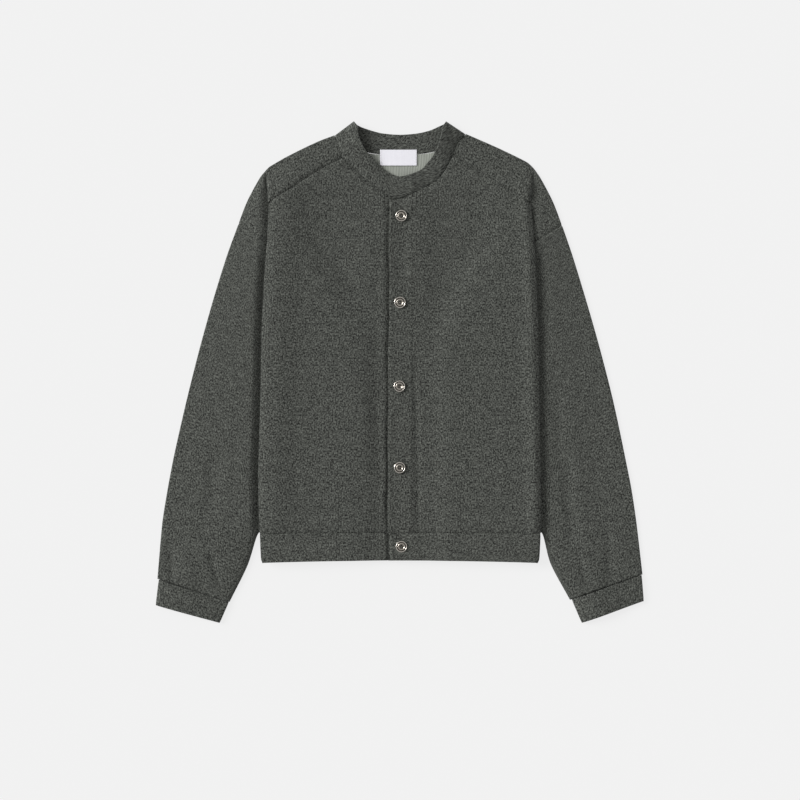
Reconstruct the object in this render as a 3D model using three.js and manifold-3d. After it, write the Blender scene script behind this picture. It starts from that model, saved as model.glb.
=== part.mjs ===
// A button-front cardigan jacket in wool cloth, laid flat on its back and seen from above.
// Millimetres. +X is the wearer's left, +Y is towards the neck, +Z is up from the surface.
// x in the tables is the distance from the centre line, the same way on both sides.
import * as THREE from 'three'
import Module from 'manifold-3d'

// Cloth, and how its layers lie on each other
const WALL = { cloth: 1.6, doubled: 2.8, lining: 1.0, label: 1.0 }
const LAYER = 2.0
const SEAM = 0.4
const FLOOR = WALL.cloth / 2
const FOLD_STEPS = 4

// Heights of the middle of each wall above the surface
const OUTER_LAYER = FLOOR + LAYER
const FRONT_CENTRE = 4.8
const BUTTON_BAND = { under: 5.0, over: 8.1, edge: -16.3, width: 17.8, fallsTo: 34 }
const BODY_EDGE = FRONT_CENTRE + LAYER
const HEM = { back: 1.4, backTurned: 4.6, frontTurned: 7.8, front: 11.0, seam: -233.5, bottom: -272.9, dip: 3.3 }
const CUFF = { lower: 1.4, upper: 4.6 }
const COLLAR = { back: 1.4, front: 4.6 }
const SLEEVE_PUFF = 3.2

// The body's sides are folded under along a crease, and this is where the turned-under cloth ends
const TURNED_EDGE = [
  { y: 245, x: 182.5 },
  { y: 187, x: 182.5 },
  { y: 166, x: 165 },
  { y: 135, x: 145 },
  { y: 89, x: 122 },
  { y: 39, x: 101 },
  { y: -280, x: 101 },
]

// How much the sleeve inside the fold lifts the layers above it
const SLEEVE_LIFT = [
  { y: 245, z: 0 },
  { y: 190, z: 2 },
  { y: 165, z: 4 },
  { y: -230, z: 4 },
  { y: -280, z: 4 },
]

// The front rises to its folded side over this width, starting this far inside the turned-under edge
const SIDE_RISE = { starts: 75, width: 50 }
// The back is folded further in than the front, and the sleeve comes down to the surface in between
const BACK_FOLD = { inset: 16, startsAt: 187, fullAt: 157 }
const RAMP = { top: 5.5, foot: 18.5 }

// Each side of the garment, named for the wearer
const SIDES = {
  right: {
    name: 'right',
    sign: -1,
    bandHeight: BUTTON_BAND.under,
    // Neck seam from the front edge to the shoulder fold, with the collar's top edge beside it
    neck: [
      { x: -16.4, y: 250.4, topX: -16.4, topY: 282.3 },
      { x: -0.4, y: 252.2, topX: -0.4, topY: 283.5 },
      { x: 14.1, y: 256.2, topX: 12.6, topY: 287.8 },
      { x: 17.5, y: 258.5, topX: 15.4, topY: 289.6 },
      { x: 34.4, y: 270.0, topX: 26.4, topY: 296.8 },
      { x: 48.9, y: 280.9, topX: 33.0, topY: 304.0 },
      { x: 60.5, y: 291.7, topX: 40.9, topY: 312.8 },
      { x: 72.1, y: 303.3, topX: 47.5, topY: 318.8 },
      { x: 82.5, y: 311.6, topX: 53.5, topY: 328.0 },
      { x: 88.9, y: 328.0, topX: 59.7, topY: 343.9 },
      { x: 94.5, y: 343.9, topX: 66.3, topY: 363.8 },
    ],
    // Ribs across the forward shoulder piece, from the shoulder fold to its front seam
    ribs: [
      { foldX: 95.0, foldY: 344.3, seamX: 82.5, seamY: 311.6 },
      { foldX: 115.6, foldY: 336.7, seamX: 105.4, seamY: 300.4 },
      { foldX: 143.8, foldY: 323.6, seamX: 134.4, seamY: 283.0 },
      { foldX: 169.1, foldY: 310.6, seamX: 157.6, seamY: 267.1 },
      { foldX: 182.3, foldY: 302.8, seamX: 176.5, seamY: 255.5 },
      { foldX: 190.0, foldY: 297.8, seamX: 187.3, seamY: 249.0 },
      { foldX: 195.9, foldY: 291.3, seamX: 191.7, seamY: 245.3 },
      { foldX: 202.0, foldY: 283.3, seamX: 184.4, seamY: 232.3 },
      { foldX: 220.7, foldY: 249.7, seamX: 183.7, seamY: 210.5 },
      { foldX: 234.5, foldY: 214.9, seamX: 183.7, seamY: 187.3 },
    ],
    crease: [
      { y: 245, x: 191.0 },
      { y: 192, x: 192.4 },
      { y: 163, x: 194.6 },
      { y: 105, x: 198.2 },
      { y: 61, x: 200.2 },
      { y: -40, x: 202.1 },
      { y: -156, x: 205.2 },
      { y: -233, x: 203.3 },
      { y: -272, x: 200.4 },
      { y: -277, x: 198.6 },
    ],
    // Rings down the sleeve, from its outer folded edge to its underarm edge
    sleeve: [
      { outerX: 248.4, outerY: 177.2, innerX: 109.0, innerY: 7.5 },
      { outerX: 266.9, outerY: 119.2, innerX: 122.8, innerY: -43.2 },
      { outerX: 287.5, outerY: 46.7, innerX: 140.2, innerY: -98.3 },
      { outerX: 309.6, outerY: -40.3, innerX: 164.5, innerY: -166.0 },
      { outerX: 329.3, outerY: -127.3, innerX: 189.0, innerY: -221.0 },
      { outerX: 337.0, outerY: -168.0, innerX: 204.8, innerY: -233.2 },
      { outerX: 344.5, outerY: -214.3, innerX: 220.7, innerY: -279.6 },
      { outerX: 352.2, outerY: -299.9, innerX: 247.1, innerY: -333.4 },
    ],
    cuff: [
      { outerX: 350.2, outerY: -301.0, innerX: 248.1, innerY: -333.6 },
      { outerX: 354.6, outerY: -337.9, innerX: 261.3, innerY: -363.8 },
    ],
  },
  left: {
    name: 'left',
    sign: 1,
    bandHeight: BUTTON_BAND.over,
    neck: [
      { x: -16.2, y: 250.4, topX: -15.5, topY: 286.5 },
      { x: 0.4, y: 253.2, topX: 0.4, topY: 283.7 },
      { x: 14.9, y: 258.4, topX: 11.0, topY: 285.8 },
      { x: 18.0, y: 259.8, topX: 14.5, topY: 287.0 },
      { x: 29.4, y: 264.9, topX: 21.0, topY: 289.3 },
      { x: 43.9, y: 272.5, topX: 31.9, topY: 294.7 },
      { x: 54.1, y: 280.1, topX: 39.5, topY: 302.8 },
      { x: 62.8, y: 290.3, topX: 46.0, topY: 310.5 },
      { x: 72.0, y: 306.5, topX: 51.0, topY: 318.5 },
      { x: 77.3, y: 316.4, topX: 54.5, topY: 326.0 },
      { x: 83.1, y: 330.9, topX: 59.6, topY: 342.0 },
      { x: 95.4, y: 346.0, topX: 67.1, topY: 363.8 },
    ],
    ribs: [
      { foldX: 95.9, foldY: 346.4, seamX: 77.3, seamY: 316.4 },
      { foldX: 116.4, foldY: 337.7, seamX: 101.9, seamY: 301.2 },
      { foldX: 145.4, foldY: 324.8, seamX: 130.9, seamY: 283.8 },
      { foldX: 174.9, foldY: 310.6, seamX: 157.0, seamY: 267.1 },
      { foldX: 185.5, foldY: 304.8, seamX: 174.4, seamY: 256.2 },
      { foldX: 192.0, foldY: 299.0, seamX: 184.6, seamY: 250.0 },
      { foldX: 196.9, foldY: 293.2, seamX: 189.7, seamY: 245.3 },
      { foldX: 202.7, foldY: 284.9, seamX: 183.1, seamY: 232.3 },
      { foldX: 221.7, foldY: 249.7, seamX: 183.4, seamY: 209.1 },
      { foldX: 236.2, foldY: 212.7, seamX: 184.0, seamY: 183.0 },
    ],
    crease: [
      { y: 245, x: 187.8 },
      { y: 192, x: 191.1 },
      { y: 163, x: 193.3 },
      { y: 105, x: 196.6 },
      { y: 47, x: 199.2 },
      { y: -40, x: 201.3 },
      { y: -156, x: 204.2 },
      { y: -233, x: 204.7 },
      { y: -272, x: 201.6 },
      { y: -277, x: 199.6 },
    ],
    sleeve: [
      { outerX: 248.5, outerY: 177.2, innerX: 109.0, innerY: 7.5 },
      { outerX: 266.5, outerY: 119.2, innerX: 122.8, innerY: -43.2 },
      { outerX: 287.5, outerY: 46.7, innerX: 140.2, innerY: -98.3 },
      { outerX: 309.9, outerY: -40.3, innerX: 165.5, innerY: -166.0 },
      { outerX: 328.4, outerY: -127.3, innerX: 190.5, innerY: -221.0 },
      { outerX: 336.5, outerY: -168.0, innerX: 206.2, innerY: -233.2 },
      { outerX: 343.5, outerY: -214.3, innerX: 218.7, innerY: -276.7 },
      { outerX: 352.8, outerY: -293.5, innerX: 247.2, innerY: -330.5 },
    ],
    cuff: [
      { outerX: 351.6, outerY: -294.4, innerX: 249.8, innerY: -330.0 },
      { outerX: 354.6, outerY: -331.8, innerX: 264.3, innerY: -363.8 },
    ],
  },
}

// The armhole seam inside the fold, from the end of the shoulder piece to the underarm
const HIDDEN_ARMHOLE = [
  { x: 160, y: 160 },
  { x: 130, y: 106 },
  { x: 101.1, y: 39.4 },
]

// Back neck seam from the right shoulder fold to the left one, with the collar's top edge beside it
const BACK_NECK = [
  { x: -79.3, y: 330.9, topX: -56.1, topY: 356.3 },
  { x: -61.9, y: 322.9, topX: -44.5, topY: 352.1 },
  { x: -40.2, y: 317.8, topX: -28.6, topY: 347.7 },
  { x: 0, y: 315.5, topX: 0, topY: 345.0 },
  { x: 41.0, y: 318.4, topX: 29.4, topY: 347.6 },
  { x: 62.8, y: 324.1, topX: 45.4, topY: 351.8 },
  { x: 80.2, y: 333.1, topX: 57.0, topY: 357.0 },
]

// Rows down the fronts and the back, below the shoulder
const FRONT_ROWS = [232, 211, 190, 165, 135, 100, 60, 20, -25, -75, -125, -175, -212, HEM.seam]
const BACK_ROWS = [192, 160, 130, 95, 60, 20, -40, -100, -160, -210, HEM.seam]
const BACK_TURNED_FROM = 160
const SHOULDER_WRAP = 8.0
const CREASE_TOP = 245

// Back neck lining and label, which lie inside the neck
const LINING = { z: 2.4, lowY: 262, sideLowY: 300, steps: 3 }
const LABEL = { x: [-28.6, 24.8], y: [301.0, 324.1], z: 3.75, steps: 4 }

// Four-hole metal buttons on the left front's button band
const BUTTON = {
  radius: 8.5, height: 3.0, gap: 0.3, sides: 20, dishRadius: 6.2, dishDepth: 0.9, footRadius: 6.8,
  holeRadius: 0.9, holeOffset: 2.1, holeSides: 6,
}
const BUTTONS = [
  { x: 2.3, y: 226.8, turn: 45 },
  { x: 0.4, y: 101.1, turn: 20 },
  { x: -0.4, y: -20.3, turn: 0 },
  { x: -0.1, y: -138.3, turn: 8 },
  { x: 2.5, y: -252.7, turn: 30 },
]

const clamp = THREE.MathUtils.clamp
const lerp = THREE.MathUtils.lerp
const soft = (t) => THREE.MathUtils.smoothstep(t, 0, 1)

/** A straight-line reading of a table whose y falls from row to row. */
function read(table, column, y) {
  const at = clamp(y, table[table.length - 1].y, table[0].y)
  const next = Math.max(1, table.findIndex((row) => row.y <= at))
  const above = table[next - 1]
  const below = table[next]
  return lerp(above[column], below[column], (above.y - at) / (above.y - below.y))
}

/** A smooth reading of the same kind of table, for an edge that shows. */
function readSmooth(table, column, y) {
  const at = clamp(y, table[table.length - 1].y, table[0].y)
  const next = Math.max(1, table.findIndex((row) => row.y <= at))
  const slope = (row) => {
    const above = table[Math.max(0, row - 1)]
    const below = table[Math.min(table.length - 1, row + 1)]
    return (below[column] - above[column]) / (below.y - above.y)
  }
  const above = table[next - 1]
  const below = table[next]
  const height = below.y - above.y
  const t = (at - above.y) / height
  const curve = (t * t * t - 2 * t * t + t) * slope(next - 1) + (t * t * t - t * t) * slope(next)
  return lerp(above[column], below[column], soft(t)) + curve * height
}

const creaseAt = (side, y) => readSmooth(side.crease, 'x', y)
const backCreaseAt = (side, y) => {
  const { inset, startsAt, fullAt } = BACK_FOLD
  return creaseAt(side, y) - inset * soft((startsAt - y) / (startsAt - fullAt))
}
const turnedEdgeAt = (y) => read(TURNED_EDGE, 'x', y)
const liftAt = (y) => read(SLEEVE_LIFT, 'z', y)

/** Height of the middle of the front's main layer, low in the middle and high over its folded side. */
function frontHeight(side, x, y, centre = FRONT_CENTRE, edge = BODY_EDGE + liftAt(y)) {
  const rise = soft((x - turnedEdgeAt(y) + SIDE_RISE.starts) / SIDE_RISE.width)
  const band = side.sign < 0 ? 1 - (x - BUTTON_BAND.width) / 3 : (BUTTON_BAND.fallsTo - x) / (BUTTON_BAND.fallsTo - BUTTON_BAND.width)
  return lerp(centre, side.bandHeight, clamp(band, 0, 1)) + (edge - centre) * rise
}

/** Height of the sleeve's lower layer: on the surface, and up between the folded layers inside the back's crease. */
function outerHeight(side, x, y) {
  const inside = clamp((backCreaseAt(side, y) + RAMP.foot - x) / (RAMP.foot - RAMP.top), 0, 1)
  return FLOOR + liftAt(y) * inside
}

const vertex = (x, y, z, wall = WALL.cloth) => ({ at: new THREE.Vector3(x, y, z), wall })

/** Points of the round fold that joins one layer's edge to another's, bulging along `outward`. */
function foldBetween(from, to, outward) {
  const middle = from.at.clone().lerp(to.at, 0.5)
  const half = to.at.clone().sub(from.at).multiplyScalar(0.5)
  const radius = half.length()
  return Array.from({ length: FOLD_STEPS - 1 }, (_, step) => {
    const angle = (Math.PI * (step + 1)) / FOLD_STEPS - Math.PI / 2
    const at = middle.clone().addScaledVector(outward, radius * Math.cos(angle)).addScaledVector(half, Math.sin(angle))
    return { at, wall: from.wall }
  })
}

/** Moves a row or column of points a little towards its neighbour, which leaves the gap at a seam. */
function drawBack(edge, neighbour, distance = SEAM / 2) {
  edge.forEach((point, index) => {
    const other = neighbour[index]
    if (!point || !other) return
    const step = other.at.clone().sub(point.at)
    step.z = 0
    point.at.addScaledVector(step.normalize(), distance)
  })
}

/** One closed cloth wall round a grid of middle points; `null` leaves a point out, `closed` joins each row's ends. */
function clothMesh(name, rows, material, closed = false) {
  const points = []
  const indexOf = new Map()
  rows.flat().forEach((point) => {
    if (point && !indexOf.has(point)) indexOf.set(point, points.push(point) - 1)
  })
  const faces = []
  for (let row = 0; row + 1 < rows.length; row++) {
    const width = rows[row].length
    for (let column = 0; column < (closed ? width : width - 1); column++) {
      const next = (column + 1) % width
      const corners = [rows[row][column], rows[row + 1][column], rows[row + 1][next], rows[row][next]]
      if (corners.some((corner) => !corner)) continue
      const [a, b, c, d] = corners.map((corner) => indexOf.get(corner))
      faces.push([a, b, c], [a, c, d])
    }
  }
  const normals = points.map(() => new THREE.Vector3())
  const edge = (from, to) => points[to].at.clone().sub(points[from].at)
  faces.forEach(([a, b, c]) => {
    const normal = edge(a, b).cross(edge(a, c))
    ;[a, b, c].forEach((corner) => normals[corner].add(normal))
  })
  const count = points.length
  const position = new Float32Array(count * 6)
  points.forEach((point, index) => {
    const offset = normals[index].normalize().multiplyScalar(point.wall / 2)
    point.at.clone().add(offset).toArray(position, index * 3)
    point.at.clone().sub(offset).toArray(position, (count + index) * 3)
  })
  const open = new Map()
  faces.forEach(([a, b, c]) => {
    ;[[a, b], [b, c], [c, a]].forEach(([from, to]) => {
      if (!open.delete(`${to} ${from}`)) open.set(`${from} ${to}`, [from, to])
    })
  })
  const triangles = []
  faces.forEach(([a, b, c]) => triangles.push(a, b, c, count + c, count + b, count + a))
  open.forEach(([from, to]) => triangles.push(to, from, count + from, to, count + from, count + to))
  const geometry = new THREE.BufferGeometry()
  geometry.setAttribute('position', new THREE.BufferAttribute(position, 3))
  geometry.setIndex(triangles)
  const mesh = new THREE.Mesh(geometry, material)
  mesh.name = name
  return mesh
}

// Finishes
const finish = (color, roughness, metalness = 0) => new THREE.MeshStandardMaterial({ color, roughness, metalness })
const FINISH = {
  wool: () => finish(0x4b4d48, 0.95),
  lining: () => finish(0xa8aca2, 0.8),
  label: () => finish(0xe9e8ee, 0.7),
  metal: () => finish(0xc9c4ba, 0.3, 1),
}

const plan = (side, x, y, z, wall) => vertex(side.sign * x, y, z, wall)
const outwardFrom = (side) => new THREE.Vector3(side.sign, 0, 0)

/** The turned-under part of a row: the fold at the crease, then the layer below, in to the turned edge. */
function turnedUnder(side, y, mainEnd, height, crease = creaseAt) {
  const wall = WALL.cloth
  const start = crease(side, y) - Math.abs(mainEnd.at.z - height) / 2 - wall / 2
  const end = turnedEdgeAt(y) + SEAM
  const under = [0, 0.5, 1].map((t) => plan(side, lerp(start, end, t), y, height, wall))
  return [...foldBetween(mainEnd, under[0], outwardFrom(side)), ...under]
}

/** One front, from its front edge across to the crease, and its side turned under. */
function front(side) {
  const foldInset = LAYER / 2 + FLOOR
  const neckEnd = side.neck.findIndex((point) => point.x === side.ribs[0].seamX)
  const shoulder = side.ribs.slice(1, 5).map((rib) => ({ x: rib.seamX, y: rib.seamY }))
  const top = [...side.neck.slice(0, neckEnd + 1), ...shoulder]
  const widest = creaseAt(side, CREASE_TOP) - foldInset
  top.push({ x: widest, y: CREASE_TOP })
  const blends = [0, 1 / 3, 2 / 3]
  const rowHeights = (point) => [...blends.map((t) => lerp(point.y, FRONT_ROWS[0], t)), ...FRONT_ROWS]
  const rows = rowHeights(top[0]).map((_, row) => {
    const main = top.map((point) => {
      const y = rowHeights(point)[row]
      const spread = (creaseAt(side, y) - foldInset) / widest
      const x = point.x * lerp(1, spread, clamp((point.x - 40) / (widest - 40), 0, 1))
      const doubled = x < BUTTON_BAND.width + 0.2
      return plan(side, x, y, frontHeight(side, x, y), doubled ? WALL.doubled : WALL.cloth)
    })
    const end = main[main.length - 1]
    return [...main, ...turnedUnder(side, end.at.y, end, end.at.z - LAYER)]
  })
  drawBack(rows[0], rows[1])
  drawBack(rows[rows.length - 1], rows[rows.length - 2])
  return clothMesh(`front_${side.name}`, rows, FINISH.wool())
}

/** The two ends of a rib on the underside, where the shoulder piece stops and the back starts. */
function wrapEnd(side, index, distance) {
  const rib = side.ribs[index]
  const backNeck = side.sign < 0 ? BACK_NECK[0] : BACK_NECK[BACK_NECK.length - 1]
  const towards = index === 0 ? [Math.abs(backNeck.x), backNeck.y - 5] : [rib.seamX, rib.seamY]
  const step = new THREE.Vector2(towards[0] - rib.foldX, towards[1] - rib.foldY).normalize()
  return { x: rib.foldX + step.x * distance, y: rib.foldY + step.y * distance }
}

/** A forward shoulder piece: over the shoulder fold, down to the front, and out to the armhole as a flap. */
function yoke(side) {
  const inset = LAYER / 2 + FLOOR
  const creaseRib = 5
  const across = [0, 0.25, 0.5, 0.75, 1]
  const rows = side.ribs.map((rib, index) => {
    const fold = new THREE.Vector2(rib.foldX, rib.foldY)
    const seam = new THREE.Vector2(rib.seamX, rib.seamY)
    const inward = seam.clone().sub(fold).normalize()
    const start = fold.clone().addScaledVector(inward, inset)
    const neckMiddle = side.neck[side.neck.length - 2]
    const ribPoint = (t) => {
      if (index > 0) return start.clone().lerp(seam, t)
      const middle = new THREE.Vector2(neckMiddle.x, neckMiddle.y)
      return t < 0.5 ? start.clone().lerp(middle, t * 2) : middle.clone().lerp(seam, t * 2 - 1)
    }
    const upper = across.map((t) => {
      const at = ribPoint(t)
      const onBody = lerp(OUTER_LAYER, frontHeight(side, rib.seamX, rib.seamY), soft(t))
      const flap = outerHeight(side, at.x, at.y) + LAYER
      return plan(side, at.x, at.y, index <= creaseRib ? onBody : flap)
    })
    const lower = [plan(side, start.x, start.y, FLOOR)]
    const end = wrapEnd(side, index, SHOULDER_WRAP)
    lower.push(plan(side, end.x, end.y, FLOOR))
    const outward = new THREE.Vector3(-inward.x * side.sign, -inward.y, 0)
    return [...upper.reverse(), ...foldBetween(upper[upper.length - 1], lower[0], outward), ...lower]
  })
  const column = (index) => rows.map((row) => row[index])
  drawBack(rows[0], rows[1])
  drawBack(rows[rows.length - 1], rows[rows.length - 2])
  drawBack(column(0), column(1))
  return clothMesh(`yoke_${side.name}`, rows, FINISH.wool())
}

/** The back: flat on the surface, its sides folded in under the fronts' sides. */
function back() {
  const foldInset = LAYER / 2 + FLOOR
  const half = (side) => {
    const neck = side.sign < 0 ? BACK_NECK.slice(0, 3).reverse() : BACK_NECK.slice(4)
    const neckPoints = neck.map((point) => ({ x: Math.abs(point.x), y: point.y }))
    const shoulder = side.ribs.map((_, index) => wrapEnd(side, index, SHOULDER_WRAP + SEAM))
    return [...neckPoints, ...shoulder]
  }
  const blends = [0, 1 / 3, 2 / 3]
  const count = blends.length + BACK_ROWS.length
  const halfRow = (side, row) => {
    const top = half(side)
    const widest = top[top.length - 1].x
    const y = BACK_ROWS[Math.max(0, row - blends.length)]
    const reach = backCreaseAt(side, y) - foldInset
    const main = top.map((point) => {
      const t = row < blends.length ? blends[row] : 1
      return plan(side, lerp(point.x, (point.x * reach) / widest, t), lerp(point.y, y, t), FLOOR)
    })
    const turned = row >= blends.length && y <= BACK_TURNED_FROM
    const under = turnedUnder(side, y, main[main.length - 1], FLOOR + LAYER, backCreaseAt)
    return [...main, ...under.map((point) => (turned ? point : null))]
  }
  const rows = Array.from({ length: count }, (_, row) => {
    const y = row < blends.length ? lerp(BACK_NECK[3].y, BACK_ROWS[0], blends[row]) : BACK_ROWS[row - blends.length]
    return [...halfRow(SIDES.right, row).reverse(), vertex(0, y, FLOOR), ...halfRow(SIDES.left, row)]
  })
  drawBack(rows[0], rows[1])
  drawBack(rows[count - 1], rows[count - 2])
  return clothMesh('back', rows, FINISH.wool())
}

/** One loop round a flattened tube, from plan points that run from its outer edge to its inner edge. */
function tubeLoop(side, points, lower, upper, wall) {
  const under = points.map((point, index) => plan(side, point.x, point.y, lower[index], wall))
  const over = points.map((point, index) => plan(side, point.x, point.y, upper[index], wall))
  const outward = under[0].at.clone().sub(under[1].at).setZ(0).normalize()
  const last = points.length - 1
  const inward = under[last].at.clone().sub(under[last - 1].at).setZ(0).normalize()
  return [
    ...under.slice().reverse(),
    ...foldBetween(under[0], over[0], outward),
    ...over,
    ...foldBetween(over[last], under[last], inward),
  ]
}

/** Where along a ring the sleeve passes a distance outside the back's crease. */
function crossing(side, ring, outside, most) {
  let low = 0
  let high = most
  for (let step = 0; step < 30; step++) {
    const t = (low + high) / 2
    const x = lerp(ring.outerX, ring.innerX, t)
    const y = lerp(ring.outerY, ring.innerY, t)
    if (x > backCreaseAt(side, y) + outside) low = t
    else high = t
  }
  return high
}

/** Plan points across one ring of the sleeve: the part that shows, the ramp, then the part inside the fold. */
function ringPoints(side, ring, armhole = false) {
  const inner = armhole ? HIDDEN_ARMHOLE : []
  const width = Math.hypot(ring.outerX - ring.innerX, ring.outerY - ring.innerY)
  const inset = (LAYER / 2 + FLOOR) / width
  const foot = crossing(side, ring, RAMP.foot, 0.88)
  const top = crossing(side, ring, RAMP.top - 0.5, 0.965)
  const shown = [0, 0.2, 0.4, 0.6, 0.8, 1].map((t) => lerp(inset, foot, t))
  const hidden = armhole ? [1] : [0.25, 0.5, 0.75, 1].map((t) => lerp(top, 1 - inset, t))
  const at = (t) => ({ x: lerp(ring.outerX, ring.innerX, t), y: lerp(ring.outerY, ring.innerY, t) })
  const last = inner[inner.length - 1]
  const before = inner[inner.length - 2]
  const points = [...shown, top, ...hidden].map(at)
  if (!armhole) return points
  const reach = inset * width / Math.hypot(last.x - before.x, last.y - before.y)
  const underarm = { x: lerp(last.x, before.x, reach), y: lerp(last.y, before.y, reach) }
  return [...points, ...inner.slice(0, -1), underarm]
}

/** A sleeve: a flattened tube from the armhole to the cuff, its upper part inside the body's side fold. */
function sleeve(side) {
  const end = side.ribs[side.ribs.length - 1]
  const armhole = { outerX: end.foldX, outerY: end.foldY, innerX: end.seamX, innerY: end.seamY }
  const first = ringPoints(side, armhole, true)
  const second = ringPoints(side, side.sleeve[0])
  const between = [0.25, 0.5].map((t) => first.map((point, index) => ({
    x: lerp(point.x, second[index].x, t),
    y: lerp(point.y, second[index].y, t),
  })))
  const rings = [first, ...between, second, ...side.sleeve.slice(1).map((ring) => ringPoints(side, ring))]
  const shownColumns = 5
  const rows = rings.map((points, ring) => {
    const fullness = SLEEVE_PUFF * soft(ring / 4)
    const lower = points.map((point) => outerHeight(side, point.x, point.y))
    const upper = lower.map((height, column) => {
      const puff = column < shownColumns ? Math.sin((Math.PI * column) / shownColumns) : 0
      return height + LAYER + fullness * puff
    })
    return tubeLoop(side, points, lower, upper, WALL.cloth)
  })
  drawBack(rows[0], rows[1], SEAM)
  return clothMesh(`sleeve_${side.name}`, rows, FINISH.wool(), true)
}

/** A cuff: a doubled band, flattened like the sleeve it ends. */
function cuff(side) {
  const [top, bottom] = side.cuff
  const rows = [0, 0.5, 1].map((t) => {
    const ring = {}
    Object.keys(top).forEach((key) => { ring[key] = lerp(top[key], bottom[key], t) })
    const width = Math.hypot(ring.outerX - ring.innerX, ring.outerY - ring.innerY)
    const inset = ((CUFF.upper - CUFF.lower) / 2 + WALL.doubled / 2) / width
    const points = [0, 0.2, 0.4, 0.6, 0.8, 1].map((u) => {
      const along = lerp(inset, 1 - inset, u)
      return { x: lerp(ring.outerX, ring.innerX, along), y: lerp(ring.outerY, ring.innerY, along) }
    })
    const lower = points.map(() => CUFF.lower)
    const upper = points.map((_, index) => CUFF.upper + 0.8 * Math.sin((Math.PI * index) / (points.length - 1)))
    return tubeLoop(side, points, lower, upper, WALL.doubled)
  })
  return clothMesh(`cuff_${side.name}`, rows, FINISH.wool(), true)
}

/** The hem band: one doubled strip round the body, folded in at both sides, its ends overlapping in front. */
function hemBand() {
  const inset = (HEM.backTurned - HEM.back) / 2 + WALL.doubled / 2
  const wall = WALL.doubled
  const halfRow = (side, t) => {
    const bottom = (x) => HEM.bottom - HEM.dip * (x / creaseAt(side, HEM.bottom)) ** 2
    const yAt = (x) => lerp(HEM.seam - SEAM / 2, bottom(x), t)
    const crease = creaseAt(side, yAt(creaseAt(side, HEM.seam)))
    const turned = turnedEdgeAt(HEM.seam)
    const strip = (xs, z) => xs.map((x) => plan(side, x, yAt(x), typeof z === 'number' ? z : z(x), wall))
    const height = (x) => frontHeight(side, x, HEM.seam, side.sign < 0 ? BUTTON_BAND.under : FRONT_CENTRE, HEM.front)
    const frontPart = strip([BUTTON_BAND.edge, 0, 18, 34, 50, 66, 82, 101, 135, 170, crease - inset], height)
    const frontTurned = strip([crease - inset, (crease + turned) / 2, turned + inset], HEM.frontTurned)
    const backCrease = crease - BACK_FOLD.inset
    const backTurned = strip([turned + inset, (crease + turned) / 2, backCrease - inset], HEM.backTurned)
    const backPart = strip([backCrease - inset, 110], HEM.back)
    const outward = outwardFrom(side)
    return [
      ...frontPart,
      ...foldBetween(frontPart[frontPart.length - 1], frontTurned[0], outward),
      ...frontTurned,
      ...foldBetween(frontTurned[2], backTurned[0], outward.clone().negate()),
      ...backTurned,
      ...foldBetween(backTurned[2], backPart[0], outward),
      ...backPart,
    ]
  }
  const rows = [0, 0.5, 1].map((t) => {
    const middle = vertex(0, lerp(HEM.seam - SEAM / 2, HEM.bottom, t), HEM.back, wall)
    return [...halfRow(SIDES.right, t), middle, ...halfRow(SIDES.left, t).reverse()]
  })
  return clothMesh('hem_band', rows, FINISH.wool())
}

/** The stand collar: a doubled band, its back half on the surface and its fronts folded over on top. */
function collar() {
  const wall = WALL.doubled
  const inset = (COLLAR.front - COLLAR.back) / 2 + wall / 2
  const across = [0, 1 / 3, 2 / 3, 1]
  const station = (seam, top, z) => across.map((t) => vertex(lerp(seam.x, top.x, t), lerp(seam.y, top.y, t), z, wall))
  const ends = (side, point) => [
    { x: side.sign * point.x, y: point.y },
    { x: side.sign * point.topX, y: point.topY },
  ]
  const frontHalf = (side) => {
    const stations = side.neck.slice(0, -1).map((point) => {
      const [seam, top] = ends(side, point)
      const bandEnd = side.sign < 0 ? 1 - (point.x - 14) / 40 : 1 - (point.x - 18) / 26
      return station(seam, top, lerp(COLLAR.front, side.bandHeight, soft(clamp(bandEnd, 0, 1))))
    })
    const [seam, top] = ends(side, side.neck[side.neck.length - 1])
    const along = new THREE.Vector3(top.x - seam.x, top.y - seam.y, 0).normalize()
    const outward = new THREE.Vector3(side.sign * along.y, -side.sign * along.x, 0)
    const foldStation = (z) => station(seam, top, z).map((point) => {
      point.at.addScaledVector(outward, -inset)
      return point
    })
    const upper = foldStation(COLLAR.front)
    const lower = foldStation(COLLAR.back)
    const steps = upper.map((point, index) => foldBetween(point, lower[index], outward))
    const bends = steps[0].map((_, step) => steps.map((column) => column[step]))
    return [...stations, upper, ...bends, lower]
  }
  const backHalf = BACK_NECK.map((point) => station(point, { x: point.topX, y: point.topY }, COLLAR.back))
  const rows = [...frontHalf(SIDES.right), ...backHalf, ...frontHalf(SIDES.left).reverse()]
  const column = (index) => rows.map((row) => row[index])
  drawBack(column(0), column(1))
  return clothMesh('collar', rows, FINISH.wool())
}

/** The back neck lining, from the collar's seam to a little way under the fronts. */
function lining() {
  const top = BACK_NECK.slice(1, -1)
  const widest = Math.abs(top[0].x)
  const rows = Array.from({ length: LINING.steps + 1 }, (_, row) => top.map((point) => {
    const side = (point.x / widest) ** 2
    const low = lerp(LINING.lowY, LINING.sideLowY, side)
    const t = row / LINING.steps
    return vertex(point.x * lerp(1, 0.86, t), lerp(point.y - SEAM, low, t), LINING.z, WALL.lining)
  }))
  return clothMesh('lining', rows, FINISH.lining())
}

/** The blank label, sewn over the seam between collar and lining. */
function label() {
  const rows = LABEL.y.map((y) => Array.from({ length: LABEL.steps + 1 }, (_, step) =>
    vertex(lerp(LABEL.x[0], LABEL.x[1], step / LABEL.steps), y, LABEL.z, WALL.label)))
  return clothMesh('label', rows, FINISH.label())
}

const wasm = await Module()
wasm.setup()

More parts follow.
